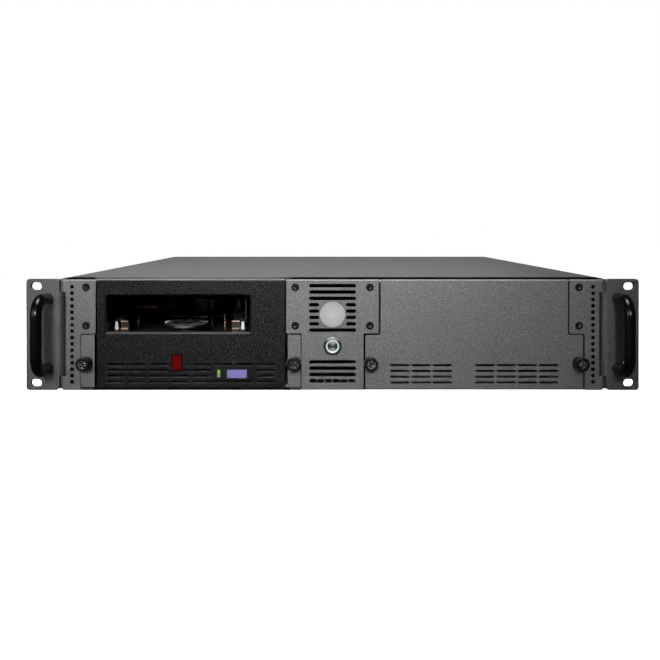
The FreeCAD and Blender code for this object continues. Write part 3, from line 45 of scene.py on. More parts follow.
# ---------------------------------------------------------------- materials
class Mat:
    """A small builder around one Principled material, in object metres."""

    def __init__(self, name, **flat):
        self.m = bpy.data.materials.get(name) or bpy.data.materials.new(name)
        self.m.use_nodes = True
        self.nt = self.m.node_tree
        self.nt.nodes.clear()
        self.out = self.new("ShaderNodeOutputMaterial")
        self.b = self.new("ShaderNodeBsdfPrincipled")
        self.link(self.b.outputs["BSDF"], self.out.inputs["Surface"])
        self.pos = self.new("ShaderNodeTexCoord").outputs["Object"]
        self._xyz = None
        for k, v in flat.items():
            self.set(k, v)

    KEYS = {"rough": "Roughness", "metal": "Metallic", "spec": "Specular IOR Level", "ior": "IOR", "coat": "Coat Weight",
            "coat_rough": "Coat Roughness", "trans": "Transmission Weight", "alpha": "Alpha", "aniso": "Anisotropic",
            "sss": "Subsurface Weight", "glow": "Emission Strength", "tint": "Specular Tint"}

    def new(self, kind):
        return self.nt.nodes.new(kind)

    def link(self, a, b):
        self.nt.links.new(a, b)

    def set(self, key, val):
        s = self.b.inputs[self.KEYS.get(key, key)]
        if isinstance(val, bpy.types.NodeSocket):
            self.link(val, s)
        elif isinstance(val, (tuple, list)) and len(val) == 3:
            s.default_value = (*val, 1.0)
        else:
            s.default_value = val

    def _in(self, sock, val):
        if isinstance(val, bpy.types.NodeSocket):
            self.link(val, sock)
        elif isinstance(val, (tuple, list)):
            sock.default_value = (*val, 1.0) if len(val) == 3 and sock.type == "RGBA" else val
        else:
            sock.default_value = val

    def xyz(self, axis):
        if self._xyz is None:
            self._xyz = self.new("ShaderNodeSeparateXYZ")
            self.link(self.pos, self._xyz.inputs[0])
        return self._xyz.outputs[axis]

    def math(self, op, a, b=0.0, c=None, clamp=False):
        n = self.new("ShaderNodeMath")
        n.operation = op
        n.use_clamp = clamp
        self._in(n.inputs[0], a)
        self._in(n.inputs[1], b)
        if c is not None:
            self._in(n.inputs[2], c)
        return n.outputs[0]

    def scaled(self, sx, sy, sz, rot=(0, 0, 0)):
        n = self.new("ShaderNodeMapping")
        self.link(self.pos, n.inputs["Vector"])
        n.inputs["Scale"].default_value = (sx, sy, sz)
        n.inputs["Rotation"].default_value = rot
        return n.outputs[0]

    def noise(self, scale, detail=2.0, rough=0.5, vec=None, warp=0.0):
        n = self.new("ShaderNodeTexNoise")
        self.link(vec or self.pos, n.inputs["Vector"])
        n.inputs["Scale"].default_value = scale
        n.inputs["Detail"].default_value = detail
        n.inputs["Roughness"].default_value = rough
        n.inputs["Distortion"].default_value = warp
        return n.outputs[0]

    def cells(self, scale, feature="F1", out="Distance", vec=None, rnd=1.0):
        n = self.new("ShaderNodeTexVoronoi")
        n.feature = feature
        self.link(vec or self.pos, n.inputs["Vector"])
        n.inputs["Scale"].default_value = scale
        n.inputs["Randomness"].default_value = rnd
        return n.outputs[out]

    def span(self, v, a0, a1, b0, b1):
        n = self.new("ShaderNodeMapRange")
        self._in(n.inputs["Value"], v)
        for k, x in (("From Min", a0), ("From Max", a1), ("To Min", b0), ("To Max", b1)):
            n.inputs[k].default_value = x
        return n.outputs[0]

    def ramp(self, fac, *stops, mode="LINEAR"):
        n = self.new("ShaderNodeValToRGB")
        n.color_ramp.interpolation = mode
        self._in(n.inputs[0], fac)
        els = n.color_ramp.elements
        while len(els) < len(stops):
            els.new(0.5)
        for e, (p, c) in zip(els, sorted(stops, key=lambda s: s[0])):
            e.position = p
            e.color = (*c, 1.0) if isinstance(c, tuple) else (c, c, c, 1.0)
        return n.outputs[0]

    def mix(self, fac, a, b, how="MIX"):
        n = self.new("ShaderNodeMix")
        n.data_type = "RGBA"
        n.blend_type = how
        n.clamp_factor = True
        self._in(n.inputs[0], fac)
        self._in(n.inputs[6], a)
        self._in(n.inputs[7], b)
        return n.outputs[2]

    def bump(self, height, dist, strength=1.0, normal=None):
        n = self.new("ShaderNodeBump")
        n.inputs["Strength"].default_value = strength
        n.inputs["Distance"].default_value = dist
        self._in(n.inputs["Height"], height)
        if normal is not None:
            self.link(normal, n.inputs["Normal"])
        self.link(n.outputs[0], self.b.inputs["Normal"])
        return n.outputs[0]

    def inside(self, axis, lo, hi, soft=0.00004):
        """1 where the object coordinate lies between lo and hi (metres)."""
        up = self.span(self.xyz(axis), lo - soft, lo + soft, 0.0, 1.0)
        dn = self.span(self.xyz(axis), hi - soft, hi + soft, 1.0, 0.0)
        return self.math("MULTIPLY", up, dn)


def tone(rgb, k):
    return tuple(c * k for c in rgb)


def powder(name, base, amp, rough, fine=2700.0, coarse=1050.0, depth=0.00006, spec=0.5, shade=None, highlight=None):
    """Fine textured powder coat: speckle, slow mottling, pebbled surface."""
    w = Mat(name, metal=0.0, spec=spec)
    f = w.noise(fine, 3.0, 0.62)
    c = w.noise(coarse, 2.0, 0.5)
    slow = w.noise(16.0, 2.0, 0.5)
    mixv = w.math("ADD", w.math("MULTIPLY", f, 0.38), w.math("MULTIPLY", c, 0.62))
    col = w.ramp(mixv, (0.34, tone(base, 1 - amp)), (0.5, base), (0.66, tone(base, 1 + amp * 1.15)))
    col = w.mix(w.span(slow, 0.3, 0.7, 0.0, 0.14), col, tone(base, 0.72))
    nz = w.new("ShaderNodeSeparateXYZ")      # painted highlight: the eased upper edges of the front are painted brighter where they catch the light
    w.link(w.new("ShaderNodeTexCoord").outputs["Normal"], nz.inputs[0])
    crest_highlight = w.math("MULTIPLY", w.span(nz.outputs["Z"], 0.15, 0.7, 0.0, 1.0), w.span(w.xyz("Y"), FACE + 0.0016, FACE + 0.0020, 1.0, 0.0))
    col = w.mix(crest_highlight, col, tone(base, 3.4))
    # painted highlight: the masked places are painted three times brighter
    if highlight is not None:
        col = w.mix(highlight(w), col, tone(base, 3.0))
    if shade is not None:                 # painted shade: the seams, gaps and recesses are painted near black where shadow falls
        shade_mask = shade(w)
        col = w.mix(shade_mask, col, (0.0015, 0.0015, 0.0015))
        w.set("spec", w.math("MULTIPLY", w.math("SUBTRACT", 1.0, shade_mask), spec))
    w.set("Base Color", col)
    w.set("rough", w.span(mixv, 0.3, 0.7, rough + 0.07, rough - 0.07))
    w.bump(mixv, depth)
    return w


charcoal = (0.062, 0.061, 0.0635)


BAY = (-0.1893, -0.0334)


# painted shade: near-black masks for the gaps behind the panels, under the cover's edge, the rolled edges, the foot of
# the drive bay and the air duct
def seam_shade(w):
    slot = w.math("MULTIPLY", w.inside("X", -0.0205, 0.0205, 0.0002), w.inside("Z", 0.0036, 0.0102, 0.0002))
    bay = w.inside("X", *BAY, 0.0004)
    gap_shade = w.math("MULTIPLY", w.inside("Y", FACE + 0.00235, FACE + 0.0062, 0.00012), w.math("SUBTRACT", 1.0, slot))
    under_shade = w.math("MULTIPLY", w.inside("Y", FACE + 0.0020, FACE + 0.0087), w.inside("Z", 0.0860, 0.08862))
    under_shade = w.math("MULTIPLY", under_shade, w.math("SUBTRACT", 1.0, bay))
    nz = w.new("ShaderNodeSeparateXYZ")     # painted shade on the rolled edges of the seams, slots and holes
    w.link(w.new("ShaderNodeTexCoord").outputs["Normal"], nz.inputs[0])
    painted_edge = w.math("MULTIPLY", w.span(w.math("ABSOLUTE", nz.outputs["Y"]), 0.70, 0.88, 1.0, 0.0), w.inside("Y", FACE - 0.0005, FACE + 0.0025))
    painted_edge = w.math("MULTIPLY", painted_edge, w.inside("Z", 0.0009, 0.0860, 0.0002))
    gap_shade = w.math("MAXIMUM", gap_shade, painted_edge)
    shaded_foot = w.math("MULTIPLY", w.math("MULTIPLY", bay, w.inside("Z", 0.0007, 0.0014)), w.inside("Y", FACE - 0.001, FACE + 0.0040))
    duct_shade = w.math("MULTIPLY", w.inside("X", -0.0338, 0.0338), w.inside("Y", FACE + 0.0062, FACE + 0.4550))
    duct_shade = w.math("MULTIPLY", duct_shade, w.span(w.xyz("Z"), 0.0860, 0.0864, 1.0, 0.0))     # painted shade: the inside of the air duct is painted black
    duct_shade = w.math("MULTIPLY", duct_shade, w.span(w.xyz("Z"), 0.0010, 0.0014, 0.0, 1.0))
    return w.math("MAXIMUM", w.math("MAXIMUM", w.math("MAXIMUM", gap_shade, under_shade), shaded_foot), duct_shade)


def bay_highlight(w):
    """Painted highlight: the lip over the drive bay and the cover's edge above it are painted brighter where the light
    catches them.
    """
    bay = w.inside("X", -0.1893, -0.0365, 0.0008)
    lit_lip = w.math("MULTIPLY", w.inside("Z", 0.0866, 0.0878), w.inside("Y", FACE - 0.0005, FACE + 0.0023))
    painted_edge = w.math("MULTIPLY", w.span(w.xyz("Z"), 0.0884, 0.0886, 0.0, 1.0), w.span(w.xyz("Y"), FACE + 0.0085, FACE + 0.0115, 1.0, 0.0))
    painted_edge = w.math("MULTIPLY", painted_edge, w.span(w.xyz("X"), -0.120, -0.040, 1.0, 0.45))
    return w.math("MULTIPLY", bay, w.math("MAXIMUM", w.math("MULTIPLY", lit_lip, 0.8), painted_edge))


powder("charcoal_powder", charcoal, 0.85, 0.47, spec=0.6, depth=0.00009, shade=seam_shade, highlight=bay_highlight)
# painted shade: the ear is painted near black behind the gaps beside the strips
powder("ear_powder", (0.034, 0.0335, 0.034), 0.85, 0.48, spec=0.55, depth=0.00009,
       shade=lambda w: w.math("MULTIPLY", w.inside("Y", FACE + 0.0042, FACE + 0.0096, 0.0001), w.inside("X", -0.2177, 0.2177, 0.0001)))

# handles: stoved black paint over steel, satin gloss with a faint orange peel
w = Mat("handle_black", metal=0.0, spec=0.22)
n = w.noise(520.0, 2.0, 0.5)
w.set("Base Color", w.ramp(w.noise(90.0, 3.0, 0.6), (0.35, (0.0004, 0.0004, 0.0005)), (0.65, (0.0010, 0.0010, 0.0011))))
w.set("rough", w.span(n, 0.3, 0.7, 0.21, 0.25))
w.bump(n, 0.000003)

# galvanised sheet: soft spangle in grey
w = Mat("zinc_sheet", metal=1.0)
sp = w.cells(150.0, out="Color")
n = w.noise(900.0, 3.0, 0.6)
# painted shade: the inside of the air duct is painted near black
duct_shade = w.math("MULTIPLY", w.inside("X", -0.0338, 0.0338), w.inside("Y", FACE + 0.0050, FACE + 0.3100))
duct_shade = w.math("MULTIPLY", duct_shade, w.span(w.xyz("Z"), 0.0010, 0.0014, 0.0, 1.0))
col = w.mix(0.35, w.ramp(sp, (0.1, (0.36, 0.37, 0.385)), (0.9, (0.50, 0.51, 0.52))), w.ramp(n, (0.3, 0.34), (0.7, 0.5)))
w.set("Base Color", w.mix(duct_shade, col, (0.004, 0.004, 0.004)))
w.set("rough", w.span(sp, 0.0, 1.0, 0.34, 0.52))
w.bump(n, 0.00001)

# black oxide screws
w = Mat("black_screw", metal=0.0, spec=0.06)
n = w.noise(1400.0, 3.0, 0.6)
nz = w.new("ShaderNodeSeparateXYZ")          # painted highlight: the sockets' walls are painted pale as a glint
w.link(w.new("ShaderNodeTexCoord").outputs["Normal"], nz.inputs[0])
socket_glint = w.math("MULTIPLY", w.span(w.math("ABSOLUTE", nz.outputs["Y"]), 0.2, 0.5, 1.0, 0.0), w.inside("Y", FACE, FACE + 0.00115, 0.00002))
w.set("Base Color", w.mix(socket_glint, w.ramp(n, (0.3, (0.0012, 0.0012, 0.0013)), (0.7, (0.0060, 0.0059, 0.0061))), (0.55, 0.54, 0.53)))
w.set("rough", w.span(n, 0.3, 0.7, 0.30, 0.44))
w.bump(n, 0.000015)

# bright zinc-plated screws and posts
w = Mat("steel_screw", metal=1.0)
n = w.noise(1500.0, 3.0, 0.6)
stud = w.math("MULTIPLY", w.inside("X", -0.190, -0.034, 0.0002), w.inside("Y", FACE + 0.1040, FACE + 0.1110, 0.0002))
step = w.inside("Z", 0.0405, 0.0442, 0.0001)
w.set("Base Color", w.mix(stud, w.ramp(n, (0.3, (0.36, 0.36, 0.37)), (0.7, (0.52, 0.52, 0.54))), w.mix(step, (0.13, 0.098, 0.070), (0.42, 0.33, 0.25))))
w.set("rough", w.span(n, 0.3, 0.7, 0.24, 0.38))
w.bump(n, 0.00001)

# anodised black knobs: the middle of each face a little paler, with a few bright specks painted in as glints
w = Mat("knob_black", metal=0.0)
n = w.noise(2600.0, 3.0, 0.6)
kz = sum(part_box("thumbscrew_1")[k].z for k in (0, 1)) / 2
k_out = abs(sum(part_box("thumbscrew_1")[k].x for k in (0, 1)) / 2)
k_mid = abs(sum(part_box("thumbscrew_2")[k].x for k in (0, 1)) / 2)
ax = w.math("ABSOLUTE", w.xyz("X"))
far = w.math("GREATER_THAN", ax, 0.11)
kx = w.math("ADD", w.math("MULTIPLY", far, k_out - k_mid), k_mid)
dx, dz = w.math("SUBTRACT", ax, kx), w.math("SUBTRACT", w.xyz("Z"), kz)
rr = w.math("SQRT", w.math("ADD", w.math("MULTIPLY", dx, dx), w.math("MULTIPLY", dz, dz)))
face = w.math("MULTIPLY", w.span(rr, 0.0031, 0.0033, 1.0, 0.0), w.span(w.xyz("Y"), FACE - 0.0099, FACE - 0.0097, 1.0, 0.0))
glint_specks = w.math("MULTIPLY", face, w.span(w.noise(1150.0, 2.0, 0.5), 0.57, 0.62, 0.0, 1.0))
dark = w.ramp(n, (0.3, (0.0010, 0.0010, 0.0011)), (0.7, (0.0034, 0.0033, 0.0034)))
col = w.mix(face, dark, w.ramp(n, (0.3, (0.004, 0.004, 0.004)), (0.7, (0.009, 0.009, 0.009))))
w.set("Base Color", w.mix(glint_specks, col, (0.42, 0.40, 0.38)))
w.set("spec", w.span(face, 0.0, 1.0, 0.13, 0.22))
w.set("rough", w.span(n, 0.3, 0.7, 0.26, 0.38))
w.bump(n, 0.00002)

# frosted lamp: brightest in the middle, where the light sources sit
w = Mat("lamp_diffuser", rough=0.42, spec=0.4, glow=1.0)
cz = sum(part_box("lamp_lens")[k].z for k in (0, 1)) / 2
dx, dz = w.xyz("X"), w.math("SUBTRACT", w.xyz("Z"), cz)
rr = w.math("SQRT", w.math("ADD", w.math("MULTIPLY", dx, dx), w.math("MULTIPLY", dz, dz)))
frost = w.noise(1800.0, 2.0, 0.6)
fall = w.span(rr, 0.0, 0.0100, 1.0, 0.62)
fall = w.math("MULTIPLY", fall, w.span(frost, 0.3, 0.7, 0.95, 1.04))
w.set("Base Color", (0.16, 0.16, 0.157))
w.set("Emission Color", w.ramp(fall, (0.5, (0.07, 0.069, 0.067)), (1.0, (0.19, 0.187, 0.184))))
w.bump(frost, 0.00002)

# printed circuit board: solder mask with tracks, darker parts on top
w = Mat("circuit_green", spec=0.5)
grid = w.new("ShaderNodeTexBrick")
w.link(w.scaled(260.0, 260.0, 260.0), grid.inputs["Vector"])
grid.inputs["Color1"].default_value = (0.010, 0.085, 0.036, 1)
grid.inputs["Color2"].default_value = (0.008, 0.066, 0.030, 1)
grid.inputs["Mortar"].default_value = (0.022, 0.150, 0.062, 1)
grid.inputs["Scale"].default_value = 1.0
grid.inputs["Mortar Size"].default_value = 0.035
pads = w.cells(330.0, rnd=0.35)
gold = w.ramp(pads, (0.10, 1.0), (0.16, 0.0))
col = w.mix(gold, grid.outputs["Color"], (0.42, 0.36, 0.20))
chip = w.mix(w.span(w.noise(60.0, 1.0), 0.4, 0.6, 0.0, 1.0), (0.010, 0.010, 0.011), (0.020, 0.020, 0.021))
tall = w.math("ADD", w.inside("Z", 0.01372, 0.0300), w.inside("Z", 0.0020, 0.01195))   # chips, sinks and standoffs
col = w.mix(tall, col, chip)
steel = w.math("ADD", w.inside("Y", FACE + 0.2106, FACE + 0.2206), w.inside("Y", FACE + 0.4515, FACE + 0.4725))
shell = w.math("MULTIPLY", steel, w.span(w.xyz("Z"), 0.0136, 0.0142, 0.0, 1.0))
shell = w.math("MAXIMUM", shell, w.inside("Y", FACE + 0.2106, FACE + 0.2206))
col = w.mix(shell, col, (0.42, 0.42, 0.43))
w.set("metal", shell)
vent_shade = w.span(w.xyz("Y"), FACE + 0.030, FACE + 0.034, 1.0, 0.0)        # painted shade: the edge seen behind the vents is painted near black
col = w.mix(vent_shade, col, (0.0015, 0.0015, 0.0015))
w.set("Base Color", col)
w.set("rough", w.span(w.noise(700.0), 0.3, 0.7, 0.28, 0.42))
CIRCUIT = w

# push-button bezel: dark polished metal, with a painted highlight across its upward-facing top
w = Mat("switch_bezel", metal=1.0)
n = w.noise(700.0, 3.0, 0.6)
nz = w.new("ShaderNodeSeparateXYZ")
w.link(w.new("ShaderNodeTexCoord").outputs["Normal"], nz.inputs[0])
bz = sum(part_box("power_button_cap")[k].z for k in (0, 1)) / 2
top_highlight = w.math("MULTIPLY", w.span(w.xyz("Z"), bz + 0.0040, bz + 0.0054, 0.0, 1.0), w.span(nz.outputs["Z"], 0.2, 0.7, 1.0, 0.35))
w.set("Base Color", w.mix(top_highlight, w.ramp(n, (0.3, (0.030, 0.031, 0.032)), (0.7, (0.050, 0.051, 0.052))), (0.34, 0.34, 0.34)))
w.set("rough", w.span(n, 0.3, 0.7, 0.26, 0.38))

# the lit ring of the button
w = Mat("led_ring", rough=0.3, glow=1.0)
n = w.noise(900.0, 2.0, 0.5)
w.set("Base Color", (0.10, 0.14, 0.12))
rz = sum(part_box("power_button_ring")[k].z for k in (0, 1)) / 2
dz = w.math("SUBTRACT", w.xyz("Z"), rz)
rr = w.math("SQRT", w.math("ADD", w.math("MULTIPLY", w.xyz("X"), w.xyz("X")), w.math("MULTIPLY", dz, dz)))
lit = w.ramp(n, (0.3, (0.42, 0.52, 0.44)), (0.7, (0.56, 0.66, 0.57)))
band = w.math("MULTIPLY", w.span(rr, 0.0039, 0.0043, 0.0, 1.0), w.span(rr, 0.0049, 0.0052, 1.0, 0.0))
w.set("Emission Color", w.mix(band, (0.012, 0.020, 0.014), lit))

# spun cap: circular brush marks give an anisotropic highlight; a bow-tie highlight is also painted into the colour,
# brighter at the top than at the bottom
w = Mat("spun_cap", metal=1.0)
bz = sum(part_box("power_button_cap")[k].z for k in (0, 1)) / 2
dx, dz = w.xyz("X"), w.math("SUBTRACT", w.xyz("Z"), bz)
ang = w.math("ARCTAN2", dz, dx)
rad = w.math("SQRT", w.math("ADD", w.math("MULTIPLY", dx, dx), w.math("MULTIPLY", dz, dz)))
tan = w.new("ShaderNodeCombineXYZ")
w.link(w.math("MULTIPLY", dz, -1.0), tan.inputs["X"])
w.link(dx, tan.inputs["Z"])
w.set("Base Color", (0.52, 0.52, 0.53))
w.set("rough", 0.36)
w.link(tan.outputs[0], w.b.inputs["Tangent"])
w.set("aniso", 0.5)
turn = w.new("ShaderNodeCombineXYZ")
w.link(w.math("MULTIPLY", rad, 9000.0), turn.inputs["X"])
w.link(w.math("MULTIPLY", ang, 0.6), turn.inputs["Y"])
marks = w.noise(1.0, 2.0, 0.6, vec=turn.outputs[0])
bow_tie_angle = w.math("ABSOLUTE", w.math("SINE", ang))
bow_tie_paint = w.span(bow_tie_angle, 0.50, 0.96, 0.0, 1.0)
grey = w.ramp(marks, (0.3, (0.36, 0.36, 0.363)), (0.7, (0.55, 0.55, 0.552)))
bow_tie_paint = w.math("MULTIPLY", bow_tie_paint, w.span(rad, 0.0003, 0.0036, 0.16, 1.0))
bow_tie_paint = w.math("MULTIPLY", bow_tie_paint, w.span(dz, -0.0008, 0.0008, 0.44, 1.15))
w.set("Base Color", w.mix(bow_tie_paint, (0.02, 0.02, 0.02), grey))
w.set("rough", 0.55)

# textured black bezel, with painted highlights on the upward faces of the vent lips, the mouth's sill and the top edge
w = Mat("bezel_black", metal=0.0, spec=0.085)
f = w.noise(2300.0, 3.0, 0.65)
c = w.cells(1500.0)
g = w.noise(1150.0, 2.0, 0.6)
mv = w.math("ADD", w.math("MULTIPLY", f, 0.34), w.math("MULTIPLY", g, 0.66))
col = w.ramp(mv, (0.42, (0.0001, 0.0001, 0.0001)), (0.53, (0.0010, 0.0010, 0.0011)), (0.60, (0.036, 0.036, 0.036)))
nz = w.new("ShaderNodeSeparateXYZ")
w.link(w.new("ShaderNodeTexCoord").outputs["Normal"], nz.inputs[0])
lit_lip = w.math("MULTIPLY", w.span(nz.outputs["Z"], 0.25, 0.6, 0.0, 1.0), w.inside("Z", 0.0045, 0.0225, 0.0002))
col = w.mix(lit_lip, col, (0.044, 0.044, 0.045))
lit_sill = w.math("MULTIPLY", w.span(nz.outputs["Z"], 0.4, 0.8, 0.0, 1.0), w.inside("Z", 0.0438, 0.0466, 0.0002))
lit_crown = w.math("MULTIPLY", w.span(nz.outputs["Z"], 0.2, 0.6, 0.0, 1.0), w.span(w.xyz("Z"), 0.0846, 0.0850, 0.0, 1.0))
w.set("Base Color", w.mix(w.math("MAXIMUM", w.math("MULTIPLY", lit_sill, 0.35), w.math("MULTIPLY", lit_crown, 0.2)), col, (0.075, 0.075, 0.076)))
w.set("rough", w.span(mv, 0.3, 0.7, 0.44, 0.26))
w.bump(w.math("SUBTRACT", mv, w.math("MULTIPLY", c, 0.35)), 0.00009)

# red filter of the digit; its dark border is painted near black, partly a printed mask and partly painted shade from
# the gap around the lens
w = Mat("display_red", rough=0.22, spec=0.12, alpha=0.72)
lo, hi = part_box("display_lens")
painted_edge = w.math("MULTIPLY", w.inside("X", lo.x + 0.0010, hi.x - 0.0010, 0.0001), w.inside("Z", lo.z + 0.0010, hi.z - 0.0010, 0.0001))
body = w.ramp(w.noise(140.0, 2.0), (0.3, (0.058, 0.0004, 0.0005)), (0.7, (0.076, 0.0005, 0.0007)))
cx, cz = (lo.x + hi.x) / 2, (lo.z + hi.z) / 2
bars = [(-0.0018, 0.0018, 0.0036, 0.0044), (-0.0018, 0.0018, -0.0004, 0.0004), (-0.0018, 0.0018, -0.0044, -0.0036),
        (-0.0027, -0.0019, 0.0003, 0.0038), (0.0019, 0.0027, 0.0003, 0.0038), (-0.0027, -0.0019, -0.0038, -0.0003), (0.0019, 0.0027, -0.0038, -0.0003)]
figure = None
for x0, x1, z0, z1 in bars:
    one = w.math("MULTIPLY", w.inside("X", cx + x0, cx + x1, 0.0001), w.inside("Z", cz + z0, cz + z1, 0.0001))
    figure = one if figure is None else w.math("MAXIMUM", figure, one)
body = w.mix(w.math("MULTIPLY", figure, 0.8), body, (0.20, 0.0020, 0.0026))
w.set("Base Color", w.mix(painted_edge, (0.003, 0.001, 0.001), body))

# moulded dark plastic
w = Mat("dark_plastic", spec=0.5)
n = w.noise(1600.0, 3.0, 0.6)
# painted shade: the plastic deep inside the drive bay is painted near black
deep_shade = w.math("MULTIPLY", w.inside("X", -0.190, -0.034, 0.0002), w.inside("Y", FACE + 0.100, FACE + 0.1175, 0.0002))
w.set("Base Color", w.mix(deep_shade, w.ramp(n, (0.3, (0.012, 0.012, 0.013)), (0.7, (0.022, 0.022, 0.023))), (0.0026, 0.0022, 0.0021)))
w.set("spec", w.span(deep_shade, 0.0, 1.0, 0.5, 0.10))
w.set("rough", w.span(n, 0.3, 0.7, 0.38, 0.52))
w.bump(n, 0.00002)

# green status light, dimmer foot
w = Mat("led_green", rough=0.3, glow=1.0)
lo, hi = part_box("status_light")
n = w.noise(800.0, 2.0)
low = w.span(w.xyz("Z"), 0.0126, 0.0129, 0.0, 1.0)
hot = w.ramp(n, (0.3, (0.14, 0.42, 0.020)), (0.7, (0.20, 0.55, 0.034)))
w.set("Base Color", (0.05, 0.12, 0.03))
core = w.inside("X", lo.x + 0.00155, hi.x - 0.00115, 0.0002)
glow = w.mix(low, (0.085, 0.125, 0.075), hot)
glow = w.mix(w.inside("Z", 0.0128, 0.0132, 0.0001), glow, (0.03, 0.07, 0.012))
w.set("Emission Color", w.mix(core, (0.004, 0.016, 0.002), glow))

# lilac push button, fine moulded grain
w = Mat("eject_lilac", spec=0.4)
n = w.noise(1900.0, 3.0, 0.6)
w.set("Base Color", w.ramp(n, (0.3, (0.108, 0.102, 0.275)), (0.7, (0.126, 0.119, 0.310))))
w.set("rough", w.span(n, 0.3, 0.7, 0.42, 0.54))
w.bump(n, 0.00002)

# cast deck, nearly black
w = Mat("cast_deck", metal=0.0, spec=0.45)
n = w.noise(760.0, 4.0, 0.6)
w.set("Base Color", w.ramp(n, (0.3, (0.0045, 0.0045, 0.0048)), (0.7, (0.0095, 0.0094, 0.0096))))
w.set("rough", w.span(n, 0.3, 0.7, 0.42, 0.58))
w.bump(n, 0.00005)

# plated steel sheet of the drive
w = Mat("drive_sheet", metal=1.0)
brush = w.noise(300.0, 3.0, 0.6, vec=w.scaled(1.0, 22.0, 1.0))
w.set("Base Color", w.ramp(brush, (0.3, (0.40, 0.41, 0.42)), (0.7, (0.52, 0.53, 0.54))))
w.set("rough", w.span(brush, 0.3, 0.7, 0.30, 0.44))
w.bump(brush, 0.000008)

w = Mat("motor_steel", metal=1.0)
n = w.noise(500.0, 3.0, 0.6)
w.set("Base Color", w.ramp(n, (0.3, (0.30, 0.30, 0.31)), (0.7, (0.42, 0.42, 0.43))))
w.set("rough", w.span(n, 0.3, 0.7, 0.28, 0.42))

# hub clutch: dark moulding; painted highlight along the front teeth, a painted reflection on the bowl's front
# underside, a painted glint at the rim's left and painted shade on the foot
w = Mat("hub_metal", metal=0.0, spec=0.35)
n = w.noise(1100.0, 3.0, 0.6)
ringl = w.noise(1700.0, 2.0, 0.5, vec=w.scaled(0.05, 0.05, 1.0))
hx, hy = (sum(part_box("supply_hub")[k][i] for k in (0, 1)) / 2 for i in (0, 1))
dx, dy = w.math("SUBTRACT", w.xyz("X"), hx), w.math("SUBTRACT", w.xyz("Y"), hy)
rr = w.math("SQRT", w.math("ADD", w.math("MULTIPLY", dx, dx), w.math("MULTIPLY", dy, dy)))
turn = w.math("ARCTAN2", dy, dx)
comb = w.span(w.math("SINE", w.math("MULTIPLY", turn, 56.0)), -0.2, 0.2, 0.05, 1.0)
front_lit_teeth = w.math("MULTIPLY", w.math("MULTIPLY", comb, w.span(rr, 0.0172, 0.0177, 0.0, 1.0)), w.inside("Z", 0.0458, 0.0478, 0.0002))
front_lit_teeth = w.math("MULTIPLY", front_lit_teeth, w.span(dy, -0.015, 0.002, 1.0, 0.10))
glow = w.math("MULTIPLY", w.span(w.math("ABSOLUTE", dx), 0.0015, 0.0100, 1.0, 0.0), w.span(dy, -0.0090, -0.0140, 0.0, 1.0))
glow = w.math("MULTIPLY", glow, w.inside("Z", 0.0426, 0.0460, 0.0005))
painted_glint = w.math("MULTIPLY", w.span(dx, -0.0150, -0.0172, 0.0, 1.0), w.span(w.xyz("Z"), 0.0469, 0.0472, 0.0, 1.0))
shaded_foot = w.math("MULTIPLY", w.span(rr, 0.0090, 0.0093, 1.0, 0.0), w.span(w.xyz("Z"), 0.0424, 0.0428, 1.0, 0.0))
col = w.ramp(n, (0.3, (0.0060, 0.0060, 0.0063)), (0.7, (0.0120, 0.0120, 0.0123)))
col = w.mix(front_lit_teeth, col, (0.115, 0.115, 0.117))
col = w.mix(glow, col, (0.20, 0.20, 0.203))
col = w.mix(painted_glint, col, (0.34, 0.33, 0.32))
w.set("Base Color", w.mix(shaded_foot, col, (0.0008, 0.0008, 0.0008)))
w.set("rough", w.span(ringl, 0.3, 0.7, 0.36, 0.50))
w.bump(ringl, 0.00001)

w = Mat("reel_plastic", spec=0.5)
n = w.noise(1300.0, 3.0, 0.6)
w.set("Base Color", w.ramp(n, (0.3, (0.020, 0.020, 0.021)), (0.7, (0.034, 0.034, 0.035))))
w.set("rough", w.span(n, 0.3, 0.7, 0.28, 0.40))
w.bump(n, 0.00001)

w = Mat("roller_steel", metal=1.0)
n = w.noise(1200.0, 3.0, 0.6, vec=w.scaled(0.1, 0.1, 1.0))
w.set("Base Color", w.ramp(n, (0.3, (0.46, 0.46, 0.47)), (0.7, (0.60, 0.60, 0.61))))
w.set("rough", w.span(n, 0.3, 0.7, 0.16, 0.28))

w = Mat("head_metal", metal=1.0)
n = w.noise(1500.0, 3.0, 0.6)
w.set("Base Color", w.ramp(n, (0.3, (0.26, 0.25, 0.24)), (0.7, (0.40, 0.385, 0.37))))
w.set("rough", w.span(n, 0.3, 0.7, 0.22, 0.34))

w = Mat("post_white", spec=0.5, sss=0.0)
n = w.noise(1200.0, 3.0, 0.6)
# painted shade: the posts are painted near black below 45 mm
w.set("Base Color", w.mix(w.span(w.xyz("Z"), 0.0450, 0.0454, 0.0, 1.0), (0.006, 0.006, 0.006),
                          w.ramp(n, (0.3, (0.42, 0.42, 0.415)), (0.7, (0.54, 0.54, 0.535)))))
w.set("rough", w.span(n, 0.3, 0.7, 0.34, 0.46))
w.bump(n, 0.00001)

w = Mat("bracket_copper", metal=0.6)
n = w.noise(900.0, 3.0, 0.6)
nz = w.new("ShaderNodeSeparateXYZ")
w.link(w.new("ShaderNodeTexCoord").outputs["Normal"], nz.inputs[0])
